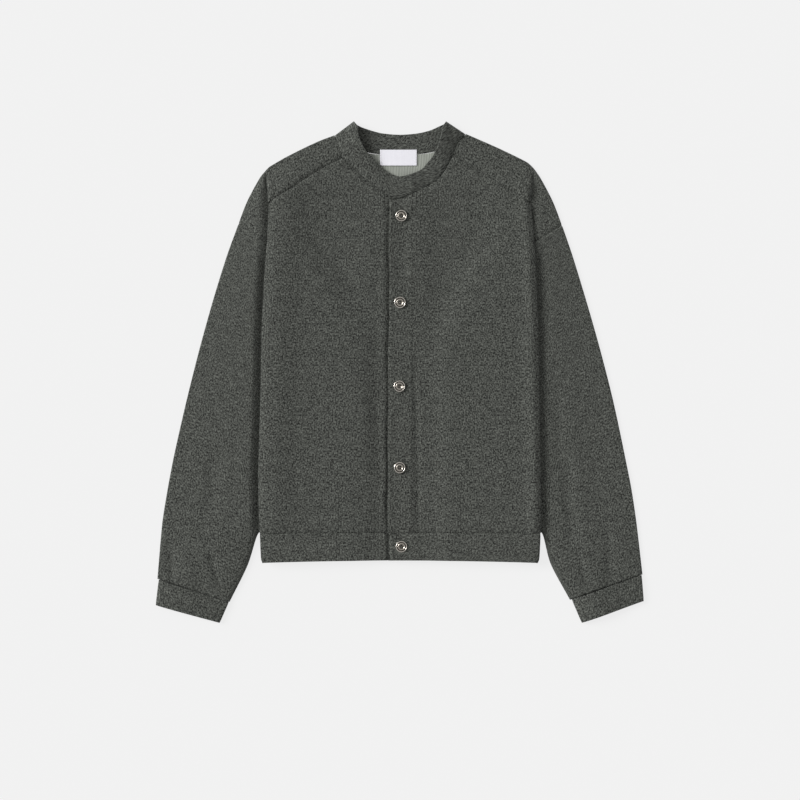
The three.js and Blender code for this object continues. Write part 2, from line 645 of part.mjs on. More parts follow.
/** A solid for joining and cutting, from a closed indexed geometry. */
function solid(points, triangles) {
  return new wasm.Manifold(new wasm.Mesh({
    numProp: 3,
    vertProperties: new Float32Array(points),
    triVerts: new Uint32Array(triangles),
  }))
}

/** A turned solid about +Z from a profile of radius and height that starts and ends on the axis. */
function turned(profile, sides) {
  const points = []
  const triangles = []
  const ring = (row, step) => 2 + (row - 1) * sides + (step % sides)
  const last = profile.length - 1
  points.push(0, 0, profile[0].z, 0, 0, profile[last].z)
  profile.slice(1, -1).forEach(({ r, z }) => {
    for (let step = 0; step < sides; step++) {
      const angle = (2 * Math.PI * step) / sides
      points.push(r * Math.cos(angle), r * Math.sin(angle), z)
    }
  })
  for (let step = 0; step < sides; step++) {
    triangles.push(0, ring(1, step + 1), ring(1, step))
    for (let row = 1; row < last - 1; row++) {
      const [a, b] = [ring(row, step), ring(row, step + 1)]
      const [c, d] = [ring(row + 1, step + 1), ring(row + 1, step)]
      triangles.push(a, b, c, a, c, d)
    }
    triangles.push(1, ring(last - 1, step), ring(last - 1, step + 1))
  }
  return solid(points, triangles)
}

/** A four-hole button: a domed back, a raised rim and a dished middle. */
function button(spot, index) {
  const { radius, height, dishRadius, dishDepth, footRadius } = BUTTON
  let body = turned([
    { r: 0, z: 0 },
    { r: footRadius, z: 0 },
    { r: radius, z: height * 0.35 },
    { r: radius, z: height * 0.75 },
    { r: radius - 0.7, z: height },
    { r: dishRadius + 0.5, z: height },
    { r: dishRadius - 0.3, z: height - dishDepth },
    { r: 0, z: height - dishDepth * 1.3 },
  ], BUTTON.sides)
  for (let hole = 0; hole < 4; hole++) {
    const angle = THREE.MathUtils.degToRad(spot.turn + 45 + 90 * hole)
    const cutter = turned([
      { r: 0, z: -1 },
      { r: BUTTON.holeRadius, z: -1 },
      { r: BUTTON.holeRadius, z: height + 1 },
      { r: 0, z: height + 1 },
    ], BUTTON.holeSides)
    const offset = [BUTTON.holeOffset * Math.cos(angle), BUTTON.holeOffset * Math.sin(angle), 0]
    body = body.subtract(cutter.translate(offset))
  }
  const result = body.getMesh()
  const geometry = new THREE.BufferGeometry()
  geometry.setAttribute('position', new THREE.BufferAttribute(new Float32Array(result.vertProperties), 3))
  geometry.setIndex(Array.from(result.triVerts))
  const mesh = new THREE.Mesh(geometry, FINISH.metal())
  mesh.name = `button_${index + 1}`
  mesh.position.set(spot.x, spot.y, BUTTON_BAND.over + WALL.doubled / 2 + BUTTON.gap)
  return mesh
}

const jacket = new THREE.Group()
jacket.add(back(), hemBand(), collar(), lining(), label())
Object.values(SIDES).forEach((side) => jacket.add(front(side), yoke(side), sleeve(side), cuff(side)))
BUTTONS.forEach((spot, index) => jacket.add(button(spot, index)))

export default jacket
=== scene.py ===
"""A button-front cardigan jacket in charcoal wool cloth, laid flat on its back and seen from straight above.

Sizes are millimetres until a point is written to a mesh. +X is the wearer's left, +Y is towards the neck and
+Z is up from the surface. x in the tables is the distance from the centre line, the same way on both sides.
"""
from __future__ import annotations

import logging
import math
from bisect import bisect_right
from dataclasses import dataclass
from enum import Enum
from itertools import product
from typing import NamedTuple, Sequence

import bmesh
import bpy
from mathutils import Matrix, Vector, noise

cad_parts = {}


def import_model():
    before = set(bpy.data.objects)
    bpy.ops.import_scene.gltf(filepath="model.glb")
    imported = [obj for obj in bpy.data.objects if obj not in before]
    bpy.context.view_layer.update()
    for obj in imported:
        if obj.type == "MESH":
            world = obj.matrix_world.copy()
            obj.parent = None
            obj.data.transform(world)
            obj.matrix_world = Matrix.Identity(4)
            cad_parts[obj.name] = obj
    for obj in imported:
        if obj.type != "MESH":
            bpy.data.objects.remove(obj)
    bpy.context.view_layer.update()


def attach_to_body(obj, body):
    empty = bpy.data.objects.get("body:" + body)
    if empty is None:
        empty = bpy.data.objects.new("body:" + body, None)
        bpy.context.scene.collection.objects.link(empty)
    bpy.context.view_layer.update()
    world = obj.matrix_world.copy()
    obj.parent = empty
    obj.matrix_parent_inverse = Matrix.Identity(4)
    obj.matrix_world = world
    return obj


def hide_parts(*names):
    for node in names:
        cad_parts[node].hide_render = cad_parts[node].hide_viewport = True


LOG = logging.getLogger("cardigan")
MM = 0.001

Colour = tuple[float, float, float, float]
Grid = list[list[Vector]]
Finishes = dict[str, bpy.types.Material]

# Cloth walls, and how the layers lie on each other
CLOTH = 1.6
DOUBLED = 2.8
LAYER = 2.0
SEAM = 0.4
FLOOR_LAYER = CLOTH / 2
BEND_INSET = LAYER / 2 + FLOOR_LAYER
EDGE_ROUNDING = 0.3
FRONT_CENTRE = 4.8
LOWEST_FRONT = 3.0
BODY_EDGE = 6.8
SIDE_RISE_STARTS = 75.0
SIDE_RISE_WIDTH = 50.0
CREASE_TOP = 245.0

# The two button bands
BAND_EDGE = -16.3
BAND_WIDTH = 17.8
BAND_FALLS_TO = 56.0
UNDER_BAND_FALL = 3.0
FINE_TO = 36.0
FINE_STEP = 1.5
UNDER_BAND = 5.0
OVER_BAND = 8.1

# The hem band's seam, lower edge and layers
HEM_SEAM = -233.5
HEM_BOTTOM = -272.9
HEM_DIP = 3.3
HEM_BACK = 1.4
HEM_BACK_TURNED = 4.6
HEM_FRONT_TURNED = 7.8
HEM_FRONT = 11.0
HEM_CENTRE = 6.2

# The back is folded further in than the fronts, and the sleeve comes down to the surface in between
BACK_FOLD_INSET = 16.0
BACK_FOLD_STARTS = 187.0
BACK_FOLD_FULL = 157.0
RAMP_TOP = 5.5
RAMP_FOOT = 18.5

# How the sleeve falls away from the crease, where its grooves are narrow, and how seams sink in
PUFF_FALL = 0.95
SHOULDER_FROM = 150.0
CREST_FROM = 140.0
SHOULDER_RISE = 60.0
SHOULDER_END = 265.0
SHOULDER_FADE = 38.0
SEAM_GAP = 0.9
SEAM_SINK = 1.6
SEAM_REACH = 3.0
NECK_REACH = 4.2
HEM_SINK = 1.5
ALLOWANCE_WALL = 0.7


class NeckPoint(NamedTuple):
    """A point on the neck seam, and the collar's top edge beside it."""

    x: float
    y: float
    top_x: float
    top_y: float


class Rib(NamedTuple):
    """A line across the forward shoulder piece, from the shoulder fold to its front seam."""

    fold_x: float
    fold_y: float
    seam_x: float
    seam_y: float


class Level(NamedTuple):
    """A value at a height up the garment."""

    y: float
    value: float


class Ring(NamedTuple):
    """A ring of the flattened sleeve, from its outer folded edge to its underarm edge."""

    outer_x: float
    outer_y: float
    inner_x: float
    inner_y: float


class Crest(NamedTuple):
    """The round crest along the body's folded side: how far in it lies, how wide and how high it is."""

    inset: float
    width: float
    low: float
    high: float


class Fold(NamedTuple):
    """A soft ridge between two points on a panel, or a trough where its height is negative."""

    start_x: float
    start_y: float
    end_x: float
    end_y: float
    width: float
    height: float


def table(kind: type, *rows: tuple[float, ...]) -> tuple:
    """Returns the rows of a table, each as one of the kinds above."""
    return tuple(kind(*row) for row in rows)


@dataclass(frozen=True)
class Side:
    """One side of the garment, named for the wearer."""

    name: str
    sign: int
    band_height: float
    neck_sink: float
    band_shift: float
    fullness: float
    free_fullness: float
    groove: float
    groove_starts: float
    shoulder_groove: float
    crest: Crest
    cuff_fullness: float
    cuff_lean: float
    stand: float
    stand_starts: float
    neck: tuple[NeckPoint, ...]
    ribs: tuple[Rib, ...]
    crease: tuple[Level, ...]
    sleeve: tuple[Ring, ...]
    cuff: tuple[Ring, Ring]


RIGHT = Side(
    name="right",
    sign=-1,
    band_height=UNDER_BAND,
    neck_sink=2.6,
    band_shift=0.0,
    fullness=9.5,
    free_fullness=11.5,
    groove=17.0,
    groove_starts=-3.0,
    shoulder_groove=19.0,
    crest=Crest(22.0, 25.0, 3.4, 4.2),
    cuff_fullness=4.0,
    cuff_lean=0.6,
    stand=11.0,
    stand_starts=0.25,
    neck=table(
        NeckPoint,
        (-16.4, 250.4, -16.4, 282.3), (-0.4, 252.2, -0.4, 283.5), (14.1, 256.2, 12.6, 287.8),
        (17.5, 258.5, 15.4, 289.6), (34.4, 270.0, 26.4, 296.8), (48.9, 280.9, 33.0, 304.0),
        (60.5, 291.7, 40.9, 312.8), (72.1, 303.3, 47.5, 318.8), (82.5, 311.6, 53.5, 328.0),
        (88.9, 328.0, 59.7, 343.9), (94.5, 343.9, 66.3, 363.8),
    ),
    ribs=table(
        Rib,
        (95.0, 344.3, 82.5, 311.6), (115.6, 336.7, 105.4, 300.4), (143.8, 323.6, 134.4, 283.0),
        (169.1, 310.6, 157.6, 267.1), (182.3, 302.8, 176.5, 255.5), (190.0, 297.8, 187.3, 249.0),
        (195.9, 291.3, 191.7, 245.3), (202.0, 283.3, 184.4, 232.3), (220.7, 249.7, 183.7, 210.5),
        (234.5, 214.9, 183.7, 187.3),
    ),
    crease=table(
        Level,
        (245, 190.2), (192, 192.4), (163, 194.6), (105, 198.2), (61, 200.2), (-40, 202.1), (-156, 205.2),
        (-233, 203.3), (-272, 200.4), (-277, 198.6),
    ),
    sleeve=table(
        Ring,
        (248.4, 177.2, 109.0, 7.5), (266.9, 119.2, 122.8, -43.2), (287.5, 46.7, 140.2, -98.3),
        (309.6, -40.3, 164.5, -166.0), (329.3, -127.3, 189.0, -221.0), (337.0, -168.0, 204.8, -233.2),
        (344.5, -214.3, 220.7, -279.6), (352.2, -299.9, 247.1, -333.4),
    ),
    cuff=(Ring(350.2, -301.0, 248.1, -333.6), Ring(354.6, -337.9, 261.3, -363.8)),
)

LEFT = Side(
    name="left",
    sign=1,
    band_height=OVER_BAND,
    neck_sink=1.6,
    band_shift=1.6,
    fullness=2.0,
    free_fullness=9.0,
    groove=20.0,
    groove_starts=6.0,
    shoulder_groove=12.0,
    crest=Crest(8.0, 10.5, 3.0, 2.8),
    cuff_fullness=6.0,
    cuff_lean=2.2,
    stand=9.0,
    stand_starts=0.45,
    neck=table(
        NeckPoint,
        (-14.8, 250.5, -14.4, 286.3), (0.4, 253.2, 0.4, 283.7), (14.9, 258.4, 11.0, 285.8),
        (18.0, 259.8, 14.5, 287.0), (29.4, 264.9, 21.0, 289.3), (43.9, 272.5, 31.9, 294.7),
        (54.1, 280.1, 39.5, 302.8), (62.8, 290.3, 46.0, 310.5), (72.0, 306.5, 51.0, 318.5),
        (77.3, 316.4, 54.5, 326.0), (83.1, 330.9, 59.6, 342.0), (95.4, 346.0, 67.1, 363.8),
    ),
    ribs=table(
        Rib,
        (95.9, 346.4, 77.3, 316.4), (116.4, 337.7, 101.9, 301.2), (145.4, 324.8, 130.9, 283.8),
        (174.9, 310.6, 157.0, 267.1), (185.5, 304.8, 174.4, 256.2), (192.0, 299.0, 184.6, 250.0),
        (196.9, 293.2, 189.7, 245.3), (202.7, 284.9, 183.1, 232.3), (221.7, 249.7, 183.4, 209.1),
        (236.2, 212.7, 184.0, 183.0),
    ),
    crease=table(
        Level,
        (245, 190.8), (192, 195.0), (163, 196.8), (105, 199.4), (47, 201.0), (-40, 202.6), (-156, 204.6),
        (-233, 204.7), (-272, 201.6), (-277, 199.6),
    ),
    sleeve=table(
        Ring,
        (248.5, 177.2, 109.0, 7.5), (266.5, 119.2, 122.8, -43.2), (287.5, 46.7, 140.2, -98.3),
        (309.9, -40.3, 165.5, -166.0), (328.4, -127.3, 190.5, -221.0), (336.5, -168.0, 206.2, -233.2),
        (343.5, -214.3, 218.7, -276.7), (352.8, -293.5, 247.2, -330.5),
    ),
    cuff=(Ring(351.6, -294.4, 249.8, -330.0), Ring(354.6, -331.8, 264.3, -363.8)),
)

BACK_NECK = table(
    NeckPoint,
    (-79.3, 330.9, -56.1, 356.3), (-61.9, 322.9, -44.5, 352.1), (-40.2, 317.8, -28.6, 347.7),
    (0, 315.5, 0, 345.0), (41.0, 318.4, 29.4, 347.6), (62.8, 324.1, 45.4, 351.8),
    (80.2, 333.1, 57.0, 357.0),
)

# Where the turned-under cloth of the body's sides ends, and how far the sleeve inside lifts the layers above
TURNED_EDGE = table(
    Level,
    (245, 182.5), (187, 182.5), (166, 165.0), (135, 145.0), (89, 122.0), (39, 101.0), (-280, 101.0),
)
SLEEVE_LIFT = table(Level, (245, 0.0), (190, 2.0), (165, 4.0), (-280, 4.0))

# The armhole seam inside the fold, from the end of the shoulder piece to the underarm
HIDDEN_ARMHOLE = ((160.0, 160.0), (130.0, 106.0), (101.1, 39.4))


def lerp(start: float, end: float, t: float) -> float:
    """Returns the value a share t of the way from start to end."""
    return start + (end - start) * t


def clamp(value: float, low: float = 0.0, high: float = 1.0) -> float:
    """Returns value, kept between low and high."""
    return max(low, min(high, value))


def soft(t: float) -> float:
    """Returns a step from 0 to 1 with soft ends."""
    t = clamp(t)
    return t * t * (3 - 2 * t)


def hump(distance: float, width: float) -> float:
    """Returns a bell that is 1 in the middle and fades over width."""
    return math.exp(-((distance / width) ** 2))


def read(table: Sequence[Level], y: float) -> float:
    """Reads a table whose y falls from row to row, along straight lines."""
    if y >= table[0].y:
        return table[0].value
    for above, below in zip(table, table[1:]):
        if y >= below.y:
            return lerp(above.value, below.value, (above.y - y) / (above.y - below.y))
    return table[-1].value


class Curve:
    """A smooth curve through a few points, read by point number or by length."""

    STEPS = 10

    def __init__(self, points: Sequence[Sequence[float]]) -> None:
        """Takes the points in order."""
        self.points = [Vector(point).to_3d() for point in points]
        self.trace: list[Vector] = []
        self.lengths: list[float] = []

    def _handle(self, index: int, forward: bool) -> Vector:
        """Returns the handle that leaves a point, short where a neighbour is near."""
        here = self.points[index]
        if index in (0, len(self.points) - 1):
            other = self.points[1] if index == 0 else self.points[-2]
            return (other - here) / 3
        before, after = here - self.points[index - 1], self.points[index + 1] - here
        short = min(before.length, after.length)
        if short < 1e-6:
            return Vector()
        along = before.normalized() * after.length + after.normalized() * before.length
        return along.normalized() * short / 3 * (1 if forward else -1)

    def at(self, number: float) -> Vector:
        """Returns the place at a point number, such as 2.5 between the third and fourth points."""
        index = int(clamp(number, 0, len(self.points) - 1 - 1e-9))
        t = number - index
        start, end = self.points[index], self.points[index + 1]
        first = start + self._handle(index, True)
        second = end + self._handle(index + 1, False)
        back = 1 - t
        return start * back**3 + first * (3 * back * back * t) + second * (3 * back * t * t) + end * t**3

    def along(self, share: float) -> Vector:
        """Returns the place at a share of the whole length."""
        if not self.trace:
            count = (len(self.points) - 1) * self.STEPS
            self.trace = [self.at(step / self.STEPS) for step in range(count + 1)]
            self.lengths = [0.0]
            for start, end in zip(self.trace, self.trace[1:]):
                self.lengths.append(self.lengths[-1] + (end - start).length)
        wanted = clamp(share) * self.lengths[-1]
        index = min(bisect_right(self.lengths, wanted), len(self.lengths) - 1)
        low, high = self.lengths[index - 1], self.lengths[index]
        return self.trace[index - 1].lerp(self.trace[index], (wanted - low) / max(high - low, 1e-9))


class Edge:
    """An edge that is read by how far it lies from the centre line, or up the garment."""

    def __init__(self, points: Sequence[Sequence[float]]) -> None:
        """Takes pairs whose first number rises or falls all the way."""
        ordered = sorted(points)
        curve = Curve(ordered)
        self.samples = [curve.at(step / 12) for step in range((len(ordered) - 1) * 12 + 1)]
        self.keys = [sample.x for sample in self.samples]

    def at(self, key: float) -> float:
        """Returns the edge's other coordinate."""
        key = clamp(key, self.keys[0], self.keys[-1])
        index = min(max(bisect_right(self.keys, key), 1), len(self.keys) - 1)
        low, high = self.samples[index - 1], self.samples[index]
        return lerp(low.y, high.y, (key - low.x) / max(high.x - low.x, 1e-9))


CREASES = {side.name: Edge(side.crease) for side in (RIGHT, LEFT)}


def crease_at(side: Side, y: float) -> float:
    """Returns how far from the centre line a front is folded under."""
    return CREASES[side.name].at(y)


def back_crease_at(side: Side, y: float) -> float:
    """Returns how far from the centre line the back is folded in."""
    inset = BACK_FOLD_INSET * soft((BACK_FOLD_STARTS - y) / (BACK_FOLD_STARTS - BACK_FOLD_FULL))
    return crease_at(side, y) - inset


def front_height(
    side: Side, x: float, y: float, centre: float = FRONT_CENTRE, edge: float | None = None
) -> float:
    """Returns the height of the front's main layer, low in the middle and high over its folded side.

    Args:
        side: the side of the garment.
        x: distance from the centre line.
        y: place up the garment.
        centre: height between the button band and the rise.
        edge: height over the folded side, or None for the front's own.
    """
    edge = BODY_EDGE + read(SLEEVE_LIFT, y) if edge is None else edge
    rise = soft((x - read(TURNED_EDGE, y) + SIDE_RISE_STARTS) / SIDE_RISE_WIDTH)
    if side.sign < 0:
        band = 1 - (x - BAND_WIDTH) / UNDER_BAND_FALL
    else:
        band = (BAND_FALLS_TO - x) / (BAND_FALLS_TO - BAND_WIDTH)
    return lerp(centre, side.band_height, soft(band)) + (edge - centre) * rise


def outer_height(side: Side, x: float, y: float) -> float:
    """Returns the height of the sleeve's lower layer: on the surface, and up between the folded layers."""
    inside = clamp((back_crease_at(side, y) + RAMP_FOOT - x) / (RAMP_FOOT - RAMP_TOP))
    return FLOOR_LAYER + read(SLEEVE_LIFT, y) * inside


# How the soft folds wander, swell and fade out past their ends
FOLD_REACH = 3.2
FOLD_FADE = 0.45
FOLD_PAST_END = 0.3
WANDER_LENGTH = 55.0
WANDER = 0.7
SWELL_LENGTH = 70.0
SWELL = 0.35


def relief(folds: Sequence[Fold], x: float, y: float) -> float:
    """Returns the height that the soft folds of a panel add at one point."""
    total = 0.0
    for number, fold in enumerate(folds):
        run_x, run_y = fold.end_x - fold.start_x, fold.end_y - fold.start_y
        length = math.hypot(run_x, run_y)
        along = ((x - fold.start_x) * run_x + (y - fold.start_y) * run_y) / (length * length)
        if not -FOLD_PAST_END < along < 1 + FOLD_PAST_END:
            continue
        aside = ((x - fold.start_x) * run_y - (y - fold.start_y) * run_x) / length
        if abs(aside) > fold.width * FOLD_REACH:
            continue
        wander = noise.noise(Vector((along * length / WANDER_LENGTH, number * 3.7, 0.5)))
        aside += wander * fold.width * WANDER
        swell = noise.noise(Vector((along * length / SWELL_LENGTH, number * 5.1, 4.5)))
        width = fold.width * (1 + SWELL * swell)
        ends = soft((along + FOLD_PAST_END) / FOLD_FADE) * soft((1 + FOLD_PAST_END - along) / FOLD_FADE)
        total += fold.height * hump(aside, width) * ends
    return total


def crest_at(side: Side, x: float, y: float) -> float:
    """Returns how much higher the cloth stands along the body's folded side, up to the shoulder."""
    height = lerp(side.crest.low, side.crest.high, soft((y - CREST_FROM) / SHOULDER_RISE))
    height *= 1 - soft((y - SHOULDER_END) / SHOULDER_FADE)
    return height * hump(x - crease_at(side, min(y, CREASE_TOP)) + side.crest.inset, side.crest.width)


def sleeve_puff(side: Side, x: float, y: float, aside: float, fullness: float) -> float:
    """Returns how high the sleeve's upper layer stands: full by the crease, falling to its outer edge.

    Args:
        side: the side of the garment.
        x: distance from the centre line.
        y: place up the garment.
        aside: distance from the sleeve's outer edge.
        fullness: the greatest height.
    """
    inner = x - crease_at(side, min(y, CREASE_TOP))
    if inner <= side.groove_starts or aside <= 0:
        return 0.0
    width = lerp(side.groove, side.shoulder_groove, soft((y - SHOULDER_FROM) / SHOULDER_RISE))
    rise = soft((inner - side.groove_starts) / width)
    return fullness * rise * (aside / (aside + max(inner, 0.0))) ** PUFF_FALL


def bend(start: Vector, end: Vector, outward: Vector, share: float) -> Vector:
    """Returns a point of the round fold that joins two layers, bulging along outward."""
    middle, half = start.lerp(end, 0.5), (end - start) / 2
    angle = math.pi * (share - 0.5)
    return middle + outward * (half.length * math.cos(angle)) + half * math.sin(angle)


def spaced(start: float, end: float, step: float) -> list[float]:
    """Returns evenly spaced values from start up to, but not including, end."""
    count = max(1, round(abs(end - start) / step))
    return [lerp(start, end, index / count) for index in range(count)]


def shares(count: int) -> list[float]:
    """Returns evenly spaced shares from 0 to 1."""
    return [index / count for index in range(count + 1)]


def bends(start: Vector, end: Vector, outward: Vector, count: int) -> list[Vector]:
    """Returns the points of the round fold that joins two layers, without its ends."""
    return [bend(start, end, outward, share) for share in shares(count)[1:-1]]


def tube_loop(lower: list[Vector], upper: list[Vector], count: int) -> list[Vector]:
    """Returns one loop round a flattened tube, from its layers' points, listed from the outer edge inward."""
    outward, inward = (lower[0] - lower[1]).normalized(), (lower[-1] - lower[-2]).normalized()
    outward.z = inward.z = 0
    outer = bends(lower[0], upper[0], outward, count)
    inner = bends(upper[-1], lower[-1], inward, count)
    return [*reversed(lower), *outer, *upper, *inner, lower[-1].copy()]


def columns_of(rows: Grid) -> Grid:
    """Turns rows, listed from the top down, into columns from the bottom up, as many as the last row has."""
    return [[row[column] for row in reversed(rows)] for column in range(len(rows[-1]))]


def cloth_object(
    name: str, places: Grid, wall: float, walls: Sequence[float] | None = None, closed: bool = False
) -> bpy.types.Object:
    """Makes a panel from a flat grid whose points are moved to their places, and gives it a wall.

    Args:
        name: the object's name.
        places: where each column of points goes.
        wall: the cloth's thickness.
        walls: the share of the wall in each column, or None for all of it.
        closed: True for a tube, whose last column is its first.

    Returns:
        The object, with a UV map in metres measured along the cloth.
    """
    columns, rows = len(places), len(places[0])
    across = [[0.0] * rows for _ in range(columns)]
    along = [[0.0] * rows for _ in range(columns)]
    for column, row in product(range(columns), range(rows)):
        here = places[column][row]
        if column:
            across[column][row] = across[column - 1][row] + (here - places[column - 1][row]).length
        if row:
            along[column][row] = along[column][row - 1] + (here - places[column][row - 1]).length
    work = bmesh.new()
    bmesh.ops.create_grid(work, x_segments=columns - 1, y_segments=rows - 1, size=0.5)
    share_layer = work.verts.layers.deform.verify()
    map_layer = work.loops.layers.uv.new("Cloth")
    spots: dict[int, tuple[int, int]] = {}
    for point in work.verts:
        column, row = round((point.co.x + 0.5) * (columns - 1)), round((point.co.y + 0.5) * (rows - 1))
        spots[point.index] = (column, row)
        point.co = places[column][row] * MM
        point[share_layer][0] = walls[column] if walls else 1.0
    for face in work.faces:
        face.smooth = True
        for loop in face.loops:
            column, row = spots[loop.vert.index]
            over = lerp(across[column][rows // 2], across[column][row], 0.5)
            loop[map_layer].uv = (over * MM, along[column][row] * MM)
    bmesh.ops.remove_doubles(work, verts=work.verts, dist=0.00002)
    piece = object_from(work, name)
    piece.vertex_groups.new(name="wall")
    solid = piece.modifiers.new("Wall", "SOLIDIFY")
    solid.thickness = wall * MM
    solid.offset = 0.0
    solid.vertex_group = "wall"
    solid.thickness_vertex_group = 0.0
    solid.use_quality_normals = True
    if not closed:
        round_edges(piece, EDGE_ROUNDING * MM, 60)
    return piece


def object_from(work: bmesh.types.BMesh, name: str) -> bpy.types.Object:
    """Makes an object from a bmesh, links it to the scene and frees the bmesh."""
    mesh = bpy.data.meshes.new(name)
    work.to_mesh(mesh)
    work.free()
    piece = bpy.data.objects.new(name, mesh)
    bpy.context.scene.collection.objects.link(piece)
    return piece


def round_edges(piece: bpy.types.Object, width: float, angle: float) -> None:
    """Rounds the edges that are sharper than an angle in degrees."""
    rounding = piece.modifiers.new("Rounded edges", "BEVEL")
    rounding.width, rounding.segments = width, 2
    rounding.limit_method, rounding.angle_limit = "ANGLE", math.radians(angle)


def attach(piece: bpy.types.Object, material: bpy.types.Material) -> bpy.types.Object:
    """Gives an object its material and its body."""
    piece.data.materials.append(material)
    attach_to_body(piece, "root")
    return piece


def smooth(piece: bpy.types.Object) -> None:
    """Shades an object smoothly."""
    piece.data.polygons.foreach_set("use_smooth", [True] * len(piece.data.polygons))


# Finishes


class Tree:
    """A short way to add nodes to a material or a node group and join them."""

    def __init__(self, tree: bpy.types.NodeTree) -> None:
        """Takes the node tree to add to."""
        self.tree = tree

    def add(self, kind: str, values: dict[str, object] | None = None, **options: object) -> bpy.types.Node:
        """Adds a node, sets its options, and sets or links its inputs by name."""
        node = self.tree.nodes.new(kind)
        for option, value in options.items():
            setattr(node, option, value)
        for name, value in (values or {}).items():
            socket = node.inputs[int(name[1:])] if name.startswith("#") else node.inputs[name]
            if isinstance(value, bpy.types.NodeSocket):
                self.tree.links.new(value, socket)
            else:
                socket.default_value = value
        return node

    def math(self, operation: str, first: object, second: object = 0.0) -> bpy.types.NodeSocket:
        """Adds a Math node and returns its result."""
        return self.add("ShaderNodeMath", {"#0": first, "#1": second}, operation=operation).outputs[0]

    def noise(
        self, vector: object, scale: float, detail: float, roughness: float = 0.5
    ) -> bpy.types.NodeSocket:
        """Adds a Noise node and returns its value."""
        values = {"Vector": vector, "Scale": scale, "Detail": detail, "Roughness": roughness}
        return self.add("ShaderNodeTexNoise", values).outputs["Fac"]

    def stretched(self, vector: object, scale: tuple[float, float, float]) -> bpy.types.NodeSocket:
        """Adds a Mapping node that scales a pattern and returns its vector."""
        return self.add("ShaderNodeMapping", {"Vector": vector, "Scale": scale}).outputs["Vector"]

    def blend(self, share: object, first: object, second: object) -> bpy.types.NodeSocket:
        """Adds a colour Mix node and returns its result."""
        values = {"#0": share, "#6": first, "#7": second}
        return self.add("ShaderNodeMix", values, data_type="RGBA").outputs[2]

    def join(self, output: bpy.types.NodeSocket, socket: bpy.types.NodeSocket) -> None:
        """Links an output to an input."""
        self.tree.links.new(output, socket)

    def weighted(self, *parts: tuple[object, float]) -> bpy.types.NodeSocket:
        """Adds up values, each times its weight."""
        total = None
        for value, weight in parts:
            part = self.math("MULTIPLY", value, weight)
            total = part if total is None else self.math("ADD", total, part)
        return total

    def bump(self, shader: bpy.types.Node, height: object, strength: float, distance: float) -> None:
        """Adds a Bump node to a shader's normal."""
        values = {"Strength": strength, "Distance": distance, "Height": height}
        self.join(self.add("ShaderNodeBump", values).outputs["Normal"], shader.inputs["Normal"])


def new_group(name: str) -> tuple[Tree, bpy.types.NodeInputs, bpy.types.NodeInputs]:
    """Makes a group for a cloth pattern and returns its tree, its inputs and its outputs."""
    group = bpy.data.node_groups.new(name, "ShaderNodeTree")
    for socket, kind in (("Vector", "Vector"), ("Dark", "Color"), ("Light", "Color"), ("Amount", "Float")):
        group.interface.new_socket(socket, in_out="INPUT", socket_type=f"NodeSocket{kind}")
    for socket, kind in (("Color", "Color"), ("Height", "Float")):
        group.interface.new_socket(socket, in_out="OUTPUT", socket_type=f"NodeSocket{kind}")
    return Tree(group), group.nodes.new("NodeGroupInput").outputs, group.nodes.new("NodeGroupOutput").inputs


def melange_group() -> bpy.types.NodeTree:
    """Makes the group for brushed melange yarn: mixed dark and light fibres, with slubs along the grain."""
    tree, inputs, outputs = new_group("Melange")
    vector = inputs["Vector"]
    fibres = tree.noise(tree.stretched(vector, (1.0, 0.8, 1.0)), 500, 4, 0.55)
    tufts = tree.noise(vector, 250, 2, 0.5)
    slubs = tree.noise(tree.stretched(vector, (1.0, 0.22, 1.0)), 440, 2, 0.6)
    cloud = tree.noise(vector, 70, 2, 0.5)
    mixed = tree.weighted((fibres, 0.72), (tufts, 0.1), (slubs, 0.15), (cloud, 0.08))
    centred = tree.math("MULTIPLY", tree.math("SUBTRACT", mixed, 0.525), inputs["Amount"])
    share = tree.add("ShaderNodeClamp", {"Value": tree.math("ADD", centred, 0.5)}).outputs[0]
    share = tree.math("POWER", share, 1.35)
    tree.join(tree.blend(share, inputs["Dark"], inputs["Light"]), outputs["Color"])
    weave = tree.noise(tree.stretched(vector, (1.0, 0.6, 1.0)), 900, 3, 0.6)
    tree.join(tree.weighted((weave, 0.45), (fibres, 0.55)), outputs["Height"])
    return tree.tree


def ribbed_group() -> bpy.types.NodeTree:
    """Makes the group for fine ribbed lining cloth: narrow ribs along the grain, slightly uneven."""
    tree, inputs, outputs = new_group("Fine ribs")
    vector = inputs["Vector"]
    across = tree.add("ShaderNodeSeparateXYZ", {"Vector": vector}).outputs["X"]
    wobble = tree.noise(vector, 90, 2, 0.5)
    turns = tree.math("MULTIPLY", across, inputs["Amount"])
    phase = tree.math("ADD", turns, tree.math("MULTIPLY", wobble, 1.6))
    height = tree.math("ADD", tree.math("MULTIPLY", tree.math("SINE", phase), 0.5), 0.5)
    grain = tree.noise(vector, 700, 3, 0.6)
    streaks = tree.math("SUBTRACT", tree.noise(tree.stretched(vector, (1.0, 0.05, 1.0)), 620, 2, 0.6), 0.18)
    share = tree.weighted((height, 0.22), (grain, 0.2), (streaks, 0.9))
    tree.join(tree.blend(share, inputs["Dark"], inputs["Light"]), outputs["Color"])
    tree.join(height, outputs["Height"])
    return tree.tree


